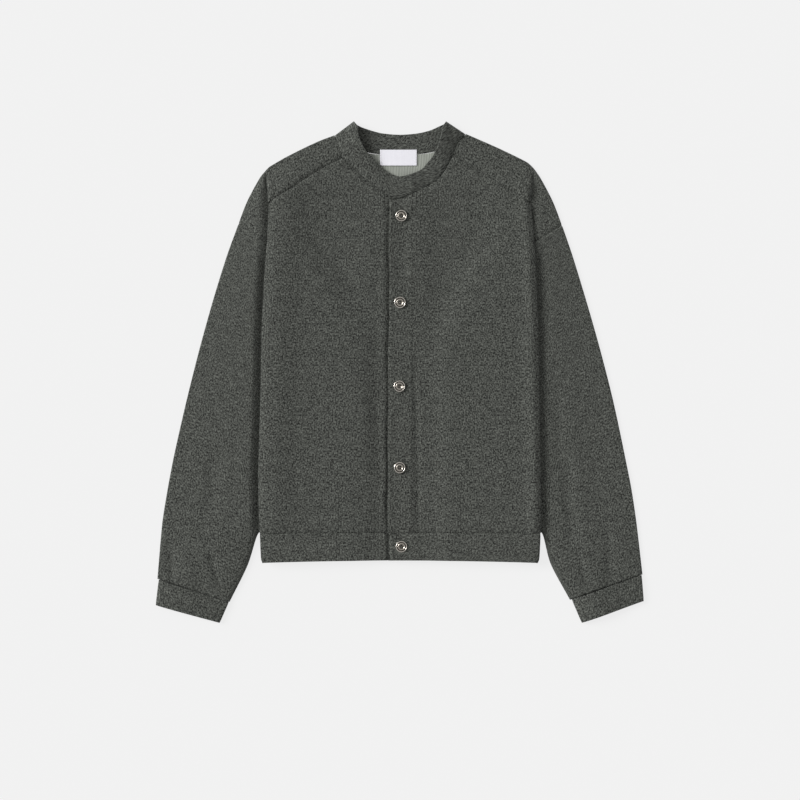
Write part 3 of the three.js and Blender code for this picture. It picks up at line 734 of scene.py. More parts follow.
@dataclass(frozen=True)
class ClothFinish:
    """Cloth coloured by one of the pattern groups, between a dark and a light shade."""

    name: str
    pattern: str
    dark: Colour
    light: Colour
    amount: float
    relief_height: float
    relief_strength: float = 0.5
    roughness: float = 0.75
    specular: float = 0.3
    sheen: float = 0.0

    def material(self, groups: dict[str, bpy.types.NodeTree]) -> bpy.types.Material:
        """Returns the material."""
        material, tree, shader = new_material(self.name)
        place = tree.add("ShaderNodeUVMap", uv_map="Cloth").outputs["UV"]
        values = {"Vector": place, "Dark": self.dark, "Light": self.light, "Amount": self.amount}
        pattern = tree.add("ShaderNodeGroup", values, node_tree=groups[self.pattern]).outputs
        tree.join(pattern["Color"], shader.inputs["Base Color"])
        tree.bump(shader, pattern["Height"], self.relief_strength, self.relief_height)
        shader.inputs["Roughness"].default_value = self.roughness
        shader.inputs["Specular IOR Level"].default_value = self.specular
        shader.inputs["Sheen Weight"].default_value = self.sheen
        return material


@dataclass(frozen=True)
class MetalFinish:
    """Pale turned metal: fine rings round its middle, with a painted highlight on the rim and painted shade
    in the groove, in the middle and round the outer side.
    """

    name: str = "Pale metal"
    roughness: float = 0.2
    ring_pitch: float = 0.00042
    ring_depth: float = 0.00005
    reach: float = 0.0085
    # Colour stops by share of the radius: painted shade in the middle, a plain dish, painted shade in the
    # groove, a painted highlight on the rim, then painted shade round the outer side.
    painted_light_stops: tuple[tuple[float, tuple[float, float, float]], ...] = (
        (0.0, (0.20, 0.18, 0.15)),
        (0.34, (0.16, 0.145, 0.12)),
        (0.46, (0.62, 0.58, 0.51)),
        (0.62, (0.66, 0.62, 0.55)),
        (0.68, (0.05, 0.045, 0.04)),
        (0.77, (0.04, 0.035, 0.03)),
        (0.82, (0.86, 0.82, 0.75)),
        (0.94, (0.84, 0.80, 0.73)),
        (1.0, (0.30, 0.27, 0.23)),
    )

    def material(self, groups: dict[str, bpy.types.NodeTree]) -> bpy.types.Material:
        """Returns the material."""
        material, tree, shader = new_material(self.name)
        place = tree.add("ShaderNodeUVMap", uv_map="Face").outputs["UV"]
        radius = tree.add("ShaderNodeVectorMath", {"#0": place}, operation="LENGTH").outputs["Value"]
        # The colour ramp paints shade and a highlight into the metal by distance from the middle.
        ramp = tree.add("ShaderNodeValToRGB", {"Fac": tree.math("MULTIPLY", radius, 1 / self.reach)})
        stops = ramp.color_ramp.elements
        while len(stops) < len(self.painted_light_stops):
            stops.new(0.5)
        for stop, (position, shade) in zip(stops, self.painted_light_stops):
            stop.position, stop.color = position, (*shade, 1)
        cloudy = tree.noise(tree.add("ShaderNodeTexCoord").outputs["Object"], 900, 3, 0.6)
        # Cloudy wear dulls the painted highlight and shade here and there.
        painted_light_and_wear = tree.blend(tree.math("MULTIPLY", cloudy, 0.5), ramp.outputs["Color"], (0.30, 0.27, 0.23, 1))
        tree.join(painted_light_and_wear, shader.inputs["Base Color"])
        rough = tree.math("ADD", tree.math("MULTIPLY", cloudy, 0.16), self.roughness - 0.08)
        tree.join(rough, shader.inputs["Roughness"])
        shader.inputs["Metallic"].default_value = 1.0
        rings = tree.math("SINE", tree.math("MULTIPLY", radius, math.tau / self.ring_pitch))
        tree.bump(shader, rings, 0.6, self.ring_depth)
        return material


@dataclass(frozen=True)
class ThreadFinish:
    """Spun sewing thread."""

    name: str = "Charcoal thread"
    dark: Colour = (0.018, 0.019, 0.017, 1)
    light: Colour = (0.075, 0.078, 0.072, 1)

    def material(self, groups: dict[str, bpy.types.NodeTree]) -> bpy.types.Material:
        """Returns the material."""
        material, tree, shader = new_material(self.name)
        place = tree.add("ShaderNodeTexCoord").outputs["Object"]
        twist = tree.noise(tree.stretched(place, (1.0, 0.4, 1.0)), 1800, 2, 0.6)
        tree.join(tree.blend(twist, self.dark, self.light), shader.inputs["Base Color"])
        tree.bump(shader, twist, 0.4, 0.0002)
        shader.inputs["Roughness"].default_value = 0.7
        return material


def new_material(name: str) -> tuple[bpy.types.Material, Tree, bpy.types.Node]:
    """Makes a material and returns it, its tree and its Principled shader."""
    material = bpy.data.materials.new(name)
    material.use_nodes = True
    return material, Tree(material.node_tree), material.node_tree.nodes["Principled BSDF"]


# Pieces


class Zone(Enum):
    """The parts of a panel that is folded under at its side."""

    MAIN = "main"
    BEND = "bend"
    TURNED = "turned"


@dataclass(frozen=True)
class Cut:
    """The flat size of what shows of a piece of cloth, in metres, and its area if it isn't a rectangle."""

    width: float
    length: float
    area: float | None = None


@dataclass
class Piece:
    """A piece of the garment: its mesh, what it stands for and how it was cut."""

    name: str
    finish: str
    slot: str
    cut: Cut | None = None
    held: str = "folded"
    rests_on: tuple[str, ...] = ()

    def dress(
        self, piece: bpy.types.Object, finishes: Finishes, sewn_on: Sequence[bpy.types.Object] = ()
    ) -> bpy.types.Object:
        """Gives a finished mesh its material and its place in the frame.

        Args:
            piece: the finished object.
            finishes: the materials by name.
            sewn_on: small pieces that belong to this sheet of cloth; not used.

        Returns:
            The same object.
        """
        attach(piece, finishes[self.finish])
        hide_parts(self.name)
        LOG.info("%s: %d faces before its wall", piece.name, len(piece.data.polygons))
        return piece

    def cloth(
        self, places: Grid, wall: float, walls: Sequence[float] | None = None, closed: bool = False
    ) -> bpy.types.Object:
        """Makes the piece's sheet of cloth, as cloth_object describes."""
        return cloth_object(f"{self.name}_cloth", places, wall, walls, closed)

    def allowance(
        self, finishes: Finishes, name: str, path: Sequence[Vector], width: float
    ) -> bpy.types.Object:
        """Makes a strip of seam allowance under a seam, flat across it."""
        columns: Grid = [[], [], []]
        for index, point in enumerate(path):
            ahead = path[min(index + 1, len(path) - 1)] - path[max(index - 1, 0)]
            across = Vector((-ahead.y, ahead.x, 0)).normalized() * width / 2
            for column, side in zip(columns, (-1, 0, 1)):
                column.append(point + across * side)
        strip = cloth_object(f"{self.name}_{name}_allowance", columns, ALLOWANCE_WALL)
        return attach(strip, finishes[self.finish])


def signed(side: Side, x: float, y: float, z: float) -> Vector:
    """Returns a point from its distance to the centre line."""
    return Vector((side.sign * x, y, z))


@dataclass
class Front(Piece):
    """A front, from its front edge across to the crease, and its side turned under."""

    side: Side = LEFT
    folds: tuple[Fold, ...] = ()
    step: float = 2.4
    rows: int = 226
    rounded_width: float = 16.0
    rounded_step: float = 1.3
    narrows_from: float = 40.0
    band_fades: float = 45.0
    roll: float = 2.0
    roll_width: float = 12.0
    loop: float = 2.6
    bend_steps: int = 8
    turned_steps: int = 10

    def __post_init__(self) -> None:
        """Works out the top edge and the columns."""
        seam_x, seam_y = self.side.ribs[0].seam_x, self.side.ribs[0].seam_y
        neck = [(point.x, point.y) for point in self.side.neck if point.x < seam_x]
        self.neck_edge = Edge([*neck, (seam_x, seam_y)])
        self.widest = crease_at(self.side, CREASE_TOP) - BEND_INSET
        shoulder = [(rib.seam_x, rib.seam_y) for rib in self.side.ribs[:6]]
        self.shoulder_edge = Edge([*shoulder, (self.widest, CREASE_TOP)])
        self.junction = seam_x
        rounded = self.widest - self.rounded_width
        main = spaced(BAND_EDGE, FINE_TO, FINE_STEP) + spaced(FINE_TO, self.junction, self.step)
        main += spaced(self.junction, rounded, self.step) + spaced(rounded, self.widest, self.rounded_step)
        self.columns = [(Zone.MAIN, x) for x in [*main, self.widest]]
        self.columns += [(Zone.BEND, share) for share in shares(self.bend_steps)[1:-1]]
        self.columns += [(Zone.TURNED, share) for share in shares(self.turned_steps)]

    def top(self, x: float) -> float:
        """Returns the height up the garment of the top edge."""
        return (self.neck_edge if x <= self.junction else self.shoulder_edge).at(x) - SEAM_GAP / 2

    def main(self, top_x: float, share: float) -> Vector:
        """Returns a point of the main layer, from a place on the top edge and the share of the way down."""
        top_y = self.top(top_x)
        y = lerp(top_y, HEM_SEAM + SEAM / 2, share)
        spread = (crease_at(self.side, y) - BEND_INSET) / self.widest
        x = top_x * lerp(1, spread, clamp((top_x - self.narrows_from) / (self.widest - self.narrows_from)))
        x += self.side.band_shift * soft((y - 30) / 60) * soft((self.narrows_from - top_x) / self.band_fades)
        z = front_height(self.side, x, y) + relief(self.folds, self.side.sign * x, y)
        crease = crease_at(self.side, y)
        z += crest_at(self.side, x, y)
        z -= self.roll * soft((x - crease + self.roll_width) / self.roll_width) ** 1.5
        sink, reach = (self.side.neck_sink, NECK_REACH) if top_x < self.junction else (SEAM_SINK, SEAM_REACH)
        z -= sink * hump(top_y - y, reach)
        z = max(z - HEM_SINK * hump(y - HEM_SEAM, SEAM_REACH), LOWEST_FRONT)
        return signed(self.side, x, y, z)

    def turned(self, main_end: Vector, share: float) -> Vector:
        """Returns a point of the turned-under layer."""
        y = main_end.y
        lift = (BODY_EDGE + read(SLEEVE_LIFT, y) - FRONT_CENTRE) / 6
        start = abs(main_end.x)
        end = read(TURNED_EDGE, y) + SEAM
        x = lerp(start, end, share)
        drop = self.loop * lift * (1 - soft((start - x) / 12))
        return signed(self.side, x, y, front_height(self.side, x, y) - LAYER - drop)

    def place(self, column: tuple[Zone, float], share: float) -> Vector:
        """Returns the point of a column at a share of the way down."""
        zone, value = column
        if zone is Zone.MAIN:
            return self.main(value, share)
        end = self.main(self.widest, share)
        if zone is Zone.TURNED:
            return self.turned(end, value)
        under = self.turned(end, 0)
        push = max(0.0, (end - under).length / 2 - LAYER / 2)
        point = bend(end, under, Vector((self.side.sign, 0, 0)), value)
        point.x -= self.side.sign * push * math.sin(math.pi * value)
        return point

    def build(self, finishes: Finishes) -> bpy.types.Object:
        """Makes the front."""
        down = shares(self.rows - 1)
        places = [[self.place(column, share) for share in reversed(down)] for column in self.columns]
        doubled = [zone is Zone.MAIN and value < BAND_WIDTH for zone, value in self.columns]
        walls = [1.0 if double else CLOTH / DOUBLED for double in doubled]
        return self.dress(self.cloth(places, DOUBLED, walls), finishes)


@dataclass
class Yoke(Piece):
    """A forward shoulder piece: over the shoulder fold, down to the front, and out to the armhole."""

    side: Side = LEFT
    wrap: float = 8.0
    crest_rib: int = 5
    arch: float = 0.9
    strip_width: float = 8.0
    strip_drop: float = 1.75
    per_rib: int = 12
    across: int = 24
    bend_steps: int = 6

    def __post_init__(self) -> None:
        """Works out the fold and seam lines."""
        self.fold_line = Curve([(rib.fold_x, rib.fold_y) for rib in self.side.ribs])
        self.seam_line = Curve([(rib.seam_x, rib.seam_y) for rib in self.side.ribs])
        self.neck_middle = Vector(self.side.neck[-2][:2]).to_3d()
        self.last = len(self.side.ribs) - 1
        self.last_width = (self.fold_line.points[-1] - self.fold_line.points[-2]).length
        back_neck = BACK_NECK[0] if self.side.sign < 0 else BACK_NECK[-1]
        self.neck_wrap = Vector((abs(back_neck.x), back_neck.y - 5, 0))

    def rib_point(self, rib: float, share: float) -> tuple[Vector, Vector]:
        """Returns the plan point a share of the way from the fold to the seam, and the direction inward."""
        fold, seam = self.fold_line.at(rib), self.seam_line.at(rib)
        inward = (seam - fold).normalized()
        start = fold + inward * BEND_INSET
        point = start.lerp(seam, share)
        if rib < 1:
            first = start.lerp(self.neck_middle, share * 2)
            second = self.neck_middle.lerp(seam, share * 2 - 1)
            bent = first if share < 0.5 else second
            point = point.lerp(bent, 1 - rib)
        return point, inward

    def upper(self, rib: float, share: float) -> Vector:
        """Returns a point of the upper layer."""
        point, _ = self.rib_point(rib, share)
        seam, fold = self.seam_line.at(rib), self.fold_line.at(rib)
        fold_height = FLOOR_LAYER + LAYER
        left = (seam - point).length
        sink = SEAM_SINK * hump(left, SEAM_REACH)
        on_body = lerp(fold_height, front_height(self.side, seam.x, seam.y), soft(share))
        on_body += self.arch * math.sin(math.pi * share) + crest_at(self.side, point.x, point.y) - sink
        flap = outer_height(self.side, point.x, point.y) + LAYER
        aside = (point - fold).length
        edge = soft((rib - self.crest_rib - 0.6) / 1.2)
        flap += sleeve_puff(self.side, point.x, point.y, aside, self.side.fullness) * edge
        armhole = (self.last - rib) * self.last_width
        flap -= 0.8 * SEAM_SINK * hump(armhole, SEAM_REACH)
        mix = soft((rib - self.crest_rib - 0.1) / 0.9)
        return signed(self.side, point.x, point.y, lerp(on_body, flap, mix))

    def lower(self, rib: float, distance: float) -> Vector:
        """Returns a point of the part that wraps onto the underside."""
        fold, seam = self.fold_line.at(rib), self.seam_line.at(rib)
        towards = seam.lerp(self.neck_wrap, clamp(1 - rib)) - fold
        point = fold + towards.normalized() * distance
        return signed(self.side, point.x, point.y, FLOOR_LAYER)

    def build(self, finishes: Finishes) -> bpy.types.Object:
        """Makes the shoulder piece."""
        ribs = [self.last * share for share in shares(self.last * self.per_rib)]
        ribs[0] += 0.02
        ribs[-1] -= 0.012
        places = []
        for rib in ribs:
            _, inward = self.rib_point(rib, 0)
            outward = Vector((-inward.x * self.side.sign, -inward.y, 0))
            upper = [self.upper(rib, 0.992 * (1 - share)) for share in shares(self.across)]
            lower = [self.lower(rib, distance) for distance in (BEND_INSET, self.wrap / 2, self.wrap)]
            places.append([*upper, *bends(upper[-1], lower[0], outward, self.bend_steps), *lower])
        return self.dress(self.cloth(places, CLOTH), finishes, self.allowances(finishes))

    def allowances(self, finishes: Finishes) -> list[bpy.types.Object]:
        """Makes the seam allowances under the front seam, the armhole seam and the end at the collar."""
        drop = Vector((0, 0, self.strip_drop))
        paths = {
            "front": [self.upper(self.crest_rib * share, 0.97) for share in shares(30)],
            "armhole": [self.upper(self.last - 0.02, lerp(0.05, 0.98, share)) for share in shares(30)],
            "collar": [self.upper(0.03, lerp(0.04, 0.98, share)) for share in shares(12)],
        }
        return [
            self.allowance(finishes, name, [point - drop for point in path], self.strip_width)
            for name, path in paths.items()
        ]


@dataclass
class Back(Piece):
    """The back: flat on the surface, its sides folded in under the fronts' sides."""

    wrap: float = 8.4
    side_starts: float = 192.0
    turned_from: float = 160.0
    half_columns: int = 60
    step: float = 6.0
    bend_steps: int = 6
    turned_steps: int = 6

    def half_top(self, side: Side) -> Curve:
        """Returns the top edge of one half, from the centre to the armhole."""
        neck = BACK_NECK[3::-1] if side.sign < 0 else BACK_NECK[3:]
        yoke = Yoke("", "", "", side=side)
        points = [(abs(point.x), point.y) for point in neck]
        ends = [yoke.lower(rib, self.wrap) for rib in range(len(side.ribs))]
        return Curve([*points, *((abs(end.x), end.y) for end in ends)])

    def half_row(self, side: Side, top: Curve, share: float, y: float, columns: int) -> list[Vector]:
        """Returns the points of one row of a half, from the centre out and round its turned-in side."""
        widest = top.points[-1].x
        reach = back_crease_at(side, y) - BEND_INSET
        main = []
        for column in range(columns + 1):
            point = top.along(column / columns)
            x = lerp(point.x, point.x * reach / widest, share)
            main.append(signed(side, x, lerp(point.y - SEAM / 2, y, share), FLOOR_LAYER))
        end = main[-1]
        if share < 1 or y > self.turned_from:
            return main + [end.copy() for _ in range(self.bend_steps + self.turned_steps)]
        under = signed(side, abs(end.x), y, FLOOR_LAYER + LAYER)
        outward = Vector((side.sign, 0, 0))
        edge = read(TURNED_EDGE, y) + SEAM
        xs = [lerp(abs(end.x), edge, share) for share in shares(self.turned_steps)]
        turned = [signed(side, x, y, FLOOR_LAYER + LAYER) for x in xs]
        return [*main, *bends(end, under, outward, self.bend_steps), *turned]

    def build(self, finishes: Finishes) -> bpy.types.Object:
        """Makes the back."""
        bottom = HEM_SEAM + SEAM / 2
        upper = [(row / 10, self.side_starts) for row in range(10)]
        lower = spaced(self.side_starts, self.turned_from, 8) + spaced(self.turned_from, bottom, self.step)
        levels = upper + [(1.0, y) for y in [*lower, bottom]]
        halves = []
        for side in (RIGHT, LEFT):
            top = self.half_top(side)
            halves.append([self.half_row(side, top, share, y, self.half_columns) for share, y in levels])
        rows = [right[:0:-1] + left for right, left in zip(*halves)]
        return self.dress(self.cloth(columns_of(rows), CLOTH), finishes)


@dataclass
class Sleeve(Piece):
    """A sleeve: a flattened tube from the armhole to the cuff, its upper part inside the body's side fold."""

    side: Side = LEFT
    folds: tuple[Fold, ...] = ()
    ring_length: float = 55.0
    rows: int = 200
    shown: int = 52
    hidden: int = 18
    bend_steps: int = 8

    def __post_init__(self) -> None:
        """Works out the outer and inner edges."""
        last = self.side.ribs[-1]
        start = Ring(last.fold_x, last.fold_y, last.seam_x, last.seam_y)
        rings = (start, *self.side.sleeve)
        self.outer = Curve([(ring.outer_x, ring.outer_y) for ring in rings])
        self.inner = Curve([(ring.inner_x, ring.inner_y) for ring in rings])
        self.last = len(rings) - 1

    def crease_share(self, outer: Vector, inner: Vector) -> float:
        """Returns the share of the way in from the outer edge at which a ring passes under the crease."""
        low, high = 0.0, 1.0
        for _ in range(18):
            middle = (low + high) / 2
            point = outer.lerp(inner, middle)
            if point.x > crease_at(self.side, point.y):
                low = middle
            else:
                high = middle
        return high

    def plan(self, ring: float) -> tuple[list[Vector], int]:
        """Returns the plan points across a ring, from outer to inner edge, and how many of them show."""
        outer, inner = self.outer.at(ring), self.inner.at(max(ring, 1.0))
        width = (outer - inner).length
        inset = BEND_INSET / width
        shown_end = min(self.crease_share(outer, inner), 1 - inset - 0.02)
        shares = [lerp(inset, shown_end, index / self.shown) for index in range(self.shown + 1)]
        shares += [lerp(shown_end, 1 - inset, index / self.hidden) for index in range(1, self.hidden + 1)]
        straight = [outer.lerp(inner, share) for share in shares]
        if ring >= 1:
            return straight, self.shown
        armhole = self.armhole()
        return [bent.lerp(point, ring) for bent, point in zip(armhole, straight)], self.shown

    def armhole(self) -> list[Vector]:
        """Returns the plan points of the armhole seam, from the outer edge to the underarm."""
        outer, seam_end = self.outer.points[0], self.inner.points[0]
        across = (seam_end - outer).normalized()
        start = outer + across * BEND_INSET
        visible = [start.lerp(seam_end, index / self.shown) for index in range(self.shown + 1)]
        hidden = Curve([tuple(seam_end)[:2], *HIDDEN_ARMHOLE])
        end_share = 1 - BEND_INSET / 160
        ends = [end_share * index / self.hidden for index in range(1, self.hidden + 1)]
        return visible + [hidden.along(end) for end in ends]

    def crown(self, point: Vector, inner_edge: Vector, aside: float, fullness: float) -> float:
        """Returns how high the upper layer stands at a point, also where it has left the body's side."""
        left = (inner_edge - point).length
        clear = soft((HEM_SEAM - point.y + 20) / 50)
        beside = sleeve_puff(self.side, point.x, point.y, aside, self.side.fullness * fullness)
        share = aside / max(aside + left, 0.01)
        free = self.side.free_fullness * fullness * share**0.9 * (1 - share) ** 0.4
        return lerp(beside, free, clear)

    def loop(self, ring: float) -> list[Vector]:
        """Returns the points of one loop round the tube."""
        points, shown = self.plan(ring)
        fullness = lerp(1, 0.72, soft(ring - self.last + 1))
        lower, upper = [], []
        for index, point in enumerate(points):
            base = outer_height(self.side, point.x, point.y)
            aside = (point - points[0]).length
            puff = self.crown(point, points[-1], aside, fullness) if index < len(points) - 1 else 0.0
            if index <= shown:
                inner = (points[shown] - point).length
                fade = soft(aside / 10) * soft(inner / 8)
                puff += relief(self.folds, self.side.sign * point.x, point.y) * fade
            puff -= 0.8 * SEAM_SINK * hump(ring * self.ring_length, SEAM_REACH)
            lower.append(signed(self.side, point.x, point.y, base))
            upper.append(signed(self.side, point.x, point.y, base + LAYER + max(puff, -0.3)))
        return tube_loop(lower, upper, self.bend_steps)

    def build(self, finishes: Finishes) -> bpy.types.Object:
        """Makes the sleeve."""
        loops = [self.loop(lerp(0.012, self.last, share)) for share in shares(self.rows - 1)]
        return self.dress(self.cloth(columns_of(loops), CLOTH, closed=True), finishes)


@dataclass
class Cuff(Piece):
    """A cuff: a doubled band, flattened like the sleeve it ends."""

    side: Side = LEFT
    lower_height: float = 1.4
    upper_height: float = 4.6
    columns: int = 60
    rows: int = 18
    bend_steps: int = 8

    def build(self, finishes: Finishes) -> bpy.types.Object:
        """Makes the cuff."""
        top, bottom = self.side.cuff
        loops = []
        for share in shares(self.rows - 1):
            ring = Ring(*(lerp(first, last, share) for first, last in zip(top, bottom)))
            outer, inner = Vector((ring.outer_x, ring.outer_y, 0)), Vector((ring.inner_x, ring.inner_y, 0))
            inset = ((self.upper_height - self.lower_height) / 2 + DOUBLED / 2) / (outer - inner).length
            rounded = 0.5 * (hump(share, 0.09) + hump(1 - share, 0.09))
            lower, upper = [], []
            for across in shares(self.columns):
                point = outer.lerp(inner, lerp(inset, 1 - inset, across))
                arch = math.sin(math.pi * across**self.side.cuff_lean) if 0 < across < 1 else 0.0
                puff = self.side.cuff_fullness * arch**0.8
                lower.append(signed(self.side, point.x, point.y, self.lower_height))
                upper.append(signed(self.side, point.x, point.y, self.upper_height + puff - rounded))
            loops.append(tube_loop(lower, upper, self.bend_steps))
        return self.dress(self.cloth(columns_of(loops), DOUBLED, closed=True), finishes)


@dataclass
class HemBand(Piece):
    """The hem band: a doubled strip round the body, folded in at the sides, its ends overlapping in front."""

    lean: float = 2.0
    rows: int = 20
    step: float = 2.4
    bend_steps: int = 8

    def half(self, side: Side, share: float) -> list[Vector]:
        """Returns one half of a row, from the front edge round to the middle of the back."""
        inset = (HEM_BACK_TURNED - HEM_BACK) / 2 + DOUBLED / 2
        corner = crease_at(side, HEM_BOTTOM)

        def level(x: float) -> float:
            """Returns the place up the garment of this row at a distance from the centre line."""
            return lerp(HEM_SEAM - SEAM / 2, HEM_BOTTOM - HEM_DIP * (x / corner) ** 2, share)

        crease = crease_at(side, level(crease_at(side, HEM_SEAM)))
        turned = read(TURNED_EDGE, HEM_SEAM)
        back_crease = crease - BACK_FOLD_INSET
        edge_roll = 0.7 * hump(share * 40, 2.4) + 0.5 * hump((1 - share) * 40, 3.0)

        def front(x: float) -> float:
            """Returns the front's height at a distance from the centre line."""
            roll = 0.9 * soft((x - crease + 14) / 14) ** 2
            groove = 1.8 * hump(x - 16, 2.8) if side.sign < 0 else -0.6 * hump(x + 12.4, 3.4)
            height = front_height(side, x, HEM_SEAM, HEM_CENTRE, HEM_FRONT) + self.lean * share
            return height - roll - edge_roll - groove

        front_xs = spaced(BAND_EDGE, FINE_TO, FINE_STEP) + spaced(FINE_TO, crease - inset, self.step)
        front_xs.append(crease - inset)
        points = [signed(side, x, level(x), front(x)) for x in front_xs]
        runs = (
            (HEM_FRONT_TURNED, crease - inset, turned + inset, 1),
            (HEM_BACK_TURNED, turned + inset, back_crease - inset, -1),
            (HEM_BACK, back_crease - inset, 0.0, 1),
        )
        for height, start, end, way in runs:
            first = signed(side, start, level(start), height)
            outward = Vector((side.sign * way, 0, 0))
            points += bends(points[-1], first, outward, self.bend_steps)
            points += [signed(side, x, level(x), height) for x in [*spaced(start, end, 6), end]]
        return points

    def build(self, finishes: Finishes) -> bpy.types.Object:
        """Makes the hem band."""
        halves = [(self.half(RIGHT, share), self.half(LEFT, share)) for share in shares(self.rows - 1)]
        rows = [right + left[-2::-1] for right, left in halves]
        return self.dress(self.cloth(columns_of(rows), DOUBLED), finishes)


@dataclass
class Collar(Piece):
    """The stand collar: a doubled band, its back half on the surface and its fronts folded over on top."""

    back_height: float = 1.4
    front_height: float = 4.6
    width: float = 34.0
    arch: float = 0.5
    strip_width: float = 7.0
    strip_drop: float = 2.2
    across: int = 14
    columns: int = 240
    bend_steps: int = 4
    corner_tuck: float = 0.42

    def stations(self, side: Side) -> list[tuple[Vector, Vector]]:
        """Returns the seam and top points of one front half, from the front edge to the fold and under it."""
        pairs = []
        count = len(side.neck) - 1
        for index, point in enumerate(side.neck[:-1]):
            band_end = 1 - (point.x - 14) / 40 if side.sign < 0 else 1 - (point.x - 18) / 26
            height = lerp(self.front_height, side.band_height, soft(band_end))
            rise = side.stand * soft((index / count - side.stand_starts) / (0.95 - side.stand_starts))
            seam = signed(side, point.x, point.y, height)
            top = signed(side, point.top_x, point.top_y, height + rise)
            pairs.append((seam, top))
        last = side.neck[-1]
        seam, top = signed(side, last.x, last.y, 0), signed(side, last.top_x, last.top_y, 0)
        line = (top - seam).normalized()
        outward = Vector((side.sign * line.y, -side.sign * line.x, 0))
        ends = []
        for base, rise, tuck in ((seam, 0.0, 1.0), (top, side.stand, self.corner_tuck)):
            high, low = self.front_height + rise, self.back_height
            radius = (high - low) / 2
            inset = radius + DOUBLED / 2
            upper, lower = base - outward * inset, base - outward * inset * tuck
            upper.z, lower.z = high, low
            bulge = (inset * (1 + tuck) / 2 - DOUBLED / 2) / ((upper - lower).length / 2)
            ends.append([bend(upper, lower, outward * bulge, share) for share in shares(self.bend_steps)])
        pairs += list(zip(*ends))
        return pairs

    def build(self, finishes: Finishes) -> bpy.types.Object:
        """Makes the collar."""
        low = self.back_height
        back = [(Vector((p.x, p.y, low)), Vector((p.top_x, p.top_y, low))) for p in BACK_NECK]
        pairs = [*self.stations(RIGHT), *back, *reversed(self.stations(LEFT))]
        seam_line, top_line = Curve([pair[0] for pair in pairs]), Curve([pair[1] for pair in pairs])
        last = len(pairs) - 1
        places = []
        for column in range(self.columns + 1):
            number = last * column / self.columns
            seam, top = seam_line.at(number), top_line.at(number)
            line = []
            for row in shares(self.across):
                share = lerp(SEAM_GAP / 2 / self.width, 1, row)
                point = seam.lerp(top, share)
                sunk = 0.8 * SEAM_SINK * hump(share * self.width, SEAM_REACH)
                point.z += self.arch * math.sin(math.pi * share) - sunk
                point.z = max(point.z, low)
                line.append(point)
            places.append(line)
        cloth = self.cloth(places, DOUBLED)
        half = (len(pairs) - len(BACK_NECK)) // 2 - self.bend_steps - 1
        strips, drop = [], Vector((0, 0, self.strip_drop))
        for name, start, end in (("right", 0, half), ("left", last - half, last)):
            path = [seam_line.at(lerp(start, end, share)) - drop for share in shares(40)]
            strips.append(self.allowance(finishes, name, path, self.strip_width))
        return self.dress(cloth, finishes, strips)


@dataclass
class Lining(Piece):
    """The back neck lining, from the collar's seam to a little way under the fronts."""

    height: float = 2.4
    wall: float = 1.0
    low_y: float = 262.0
    side_low_y: float = 300.0
    half_width: float = 62.0

    def build(self, finishes: Finishes) -> bpy.types.Object:
        """Makes the lining."""
        neck = Curve([(point.x, point.y) for point in BACK_NECK[1:-1]])
        places = []
        for across in shares(60):
            top = neck.along(across)
            low = lerp(self.low_y, self.side_low_y, (top.x / self.half_width) ** 2)
            line = []
            for share in reversed(shares(30)):
                y = lerp(top.y - SEAM, low, share)
                ripple = 0.25 * noise.noise(Vector((top.x / 9, y / 30, 2.0)))
                line.append(Vector((top.x * lerp(1, 0.86, share), y, self.height + ripple)))
            places.append(line)
        return self.dress(self.cloth(places, self.wall), finishes)


@dataclass
class Label(Piece):
    """The blank woven label, sewn down at both ends over the seam between collar and lining."""

    left: float = -28.6
    right: float = 24.8
    bottom: float = 300.2
    top: float = 323.3
    height: float = 3.75
    wall: float = 1.0
    stitch_inset: float = 1.8
    stitch_count: int = 9
    stitch_margin: float = 1.4
    stitch_radius: float = 0.22
    stitch_stretch: float = 3.6
    stitch_rise: float = 0.08
    stitch_shift: float = 0.1
    arch: float = 0.35
    sag: float = 0.15

    def build(self, finishes: Finishes) -> bpy.types.Object:
        """Makes the label."""
        stitches = self.stitches(finishes)
        places = []
        for across in shares(48):
            x = lerp(self.left, self.right, across)
            height = self.height + self.arch * math.sin(math.pi * across)
            sag = self.sag * (1 - (2 * across - 1) ** 2)
            places.append([Vector((x, lerp(self.bottom, self.top, up) - sag, height)) for up in shares(20)])
        return self.dress(self.cloth(places, self.wall), finishes, [stitches])

    def stitches(self, finishes: Finishes) -> bpy.types.Object:
        """Makes the two rows of stitches that hold the label's ends."""
        work = bmesh.new()
        lie = Matrix.Rotation(math.pi / 2, 4, "X")
        low, high = self.bottom + self.stitch_margin, self.top - self.stitch_margin
        for x in (self.left + self.stitch_inset, self.right - self.stitch_inset):
            for share in shares(self.stitch_count - 1):
                y = lerp(low, high, share) - self.stitch_shift
                spot = Matrix.Translation((x, y, self.height + self.wall / 2 + self.stitch_rise))
                shape = spot @ lie @ Matrix.Scale(self.stitch_stretch, 4, (0, 0, 1))
                bmesh.ops.create_uvsphere(
                    work, u_segments=8, v_segments=6, radius=self.stitch_radius, matrix=shape
                )
        stitches = object_from(work, "label_stitches")
        stitches.data.transform(Matrix.Scale(MM, 4))
        smooth(stitches)
        return attach(stitches, finishes["label_thread"])


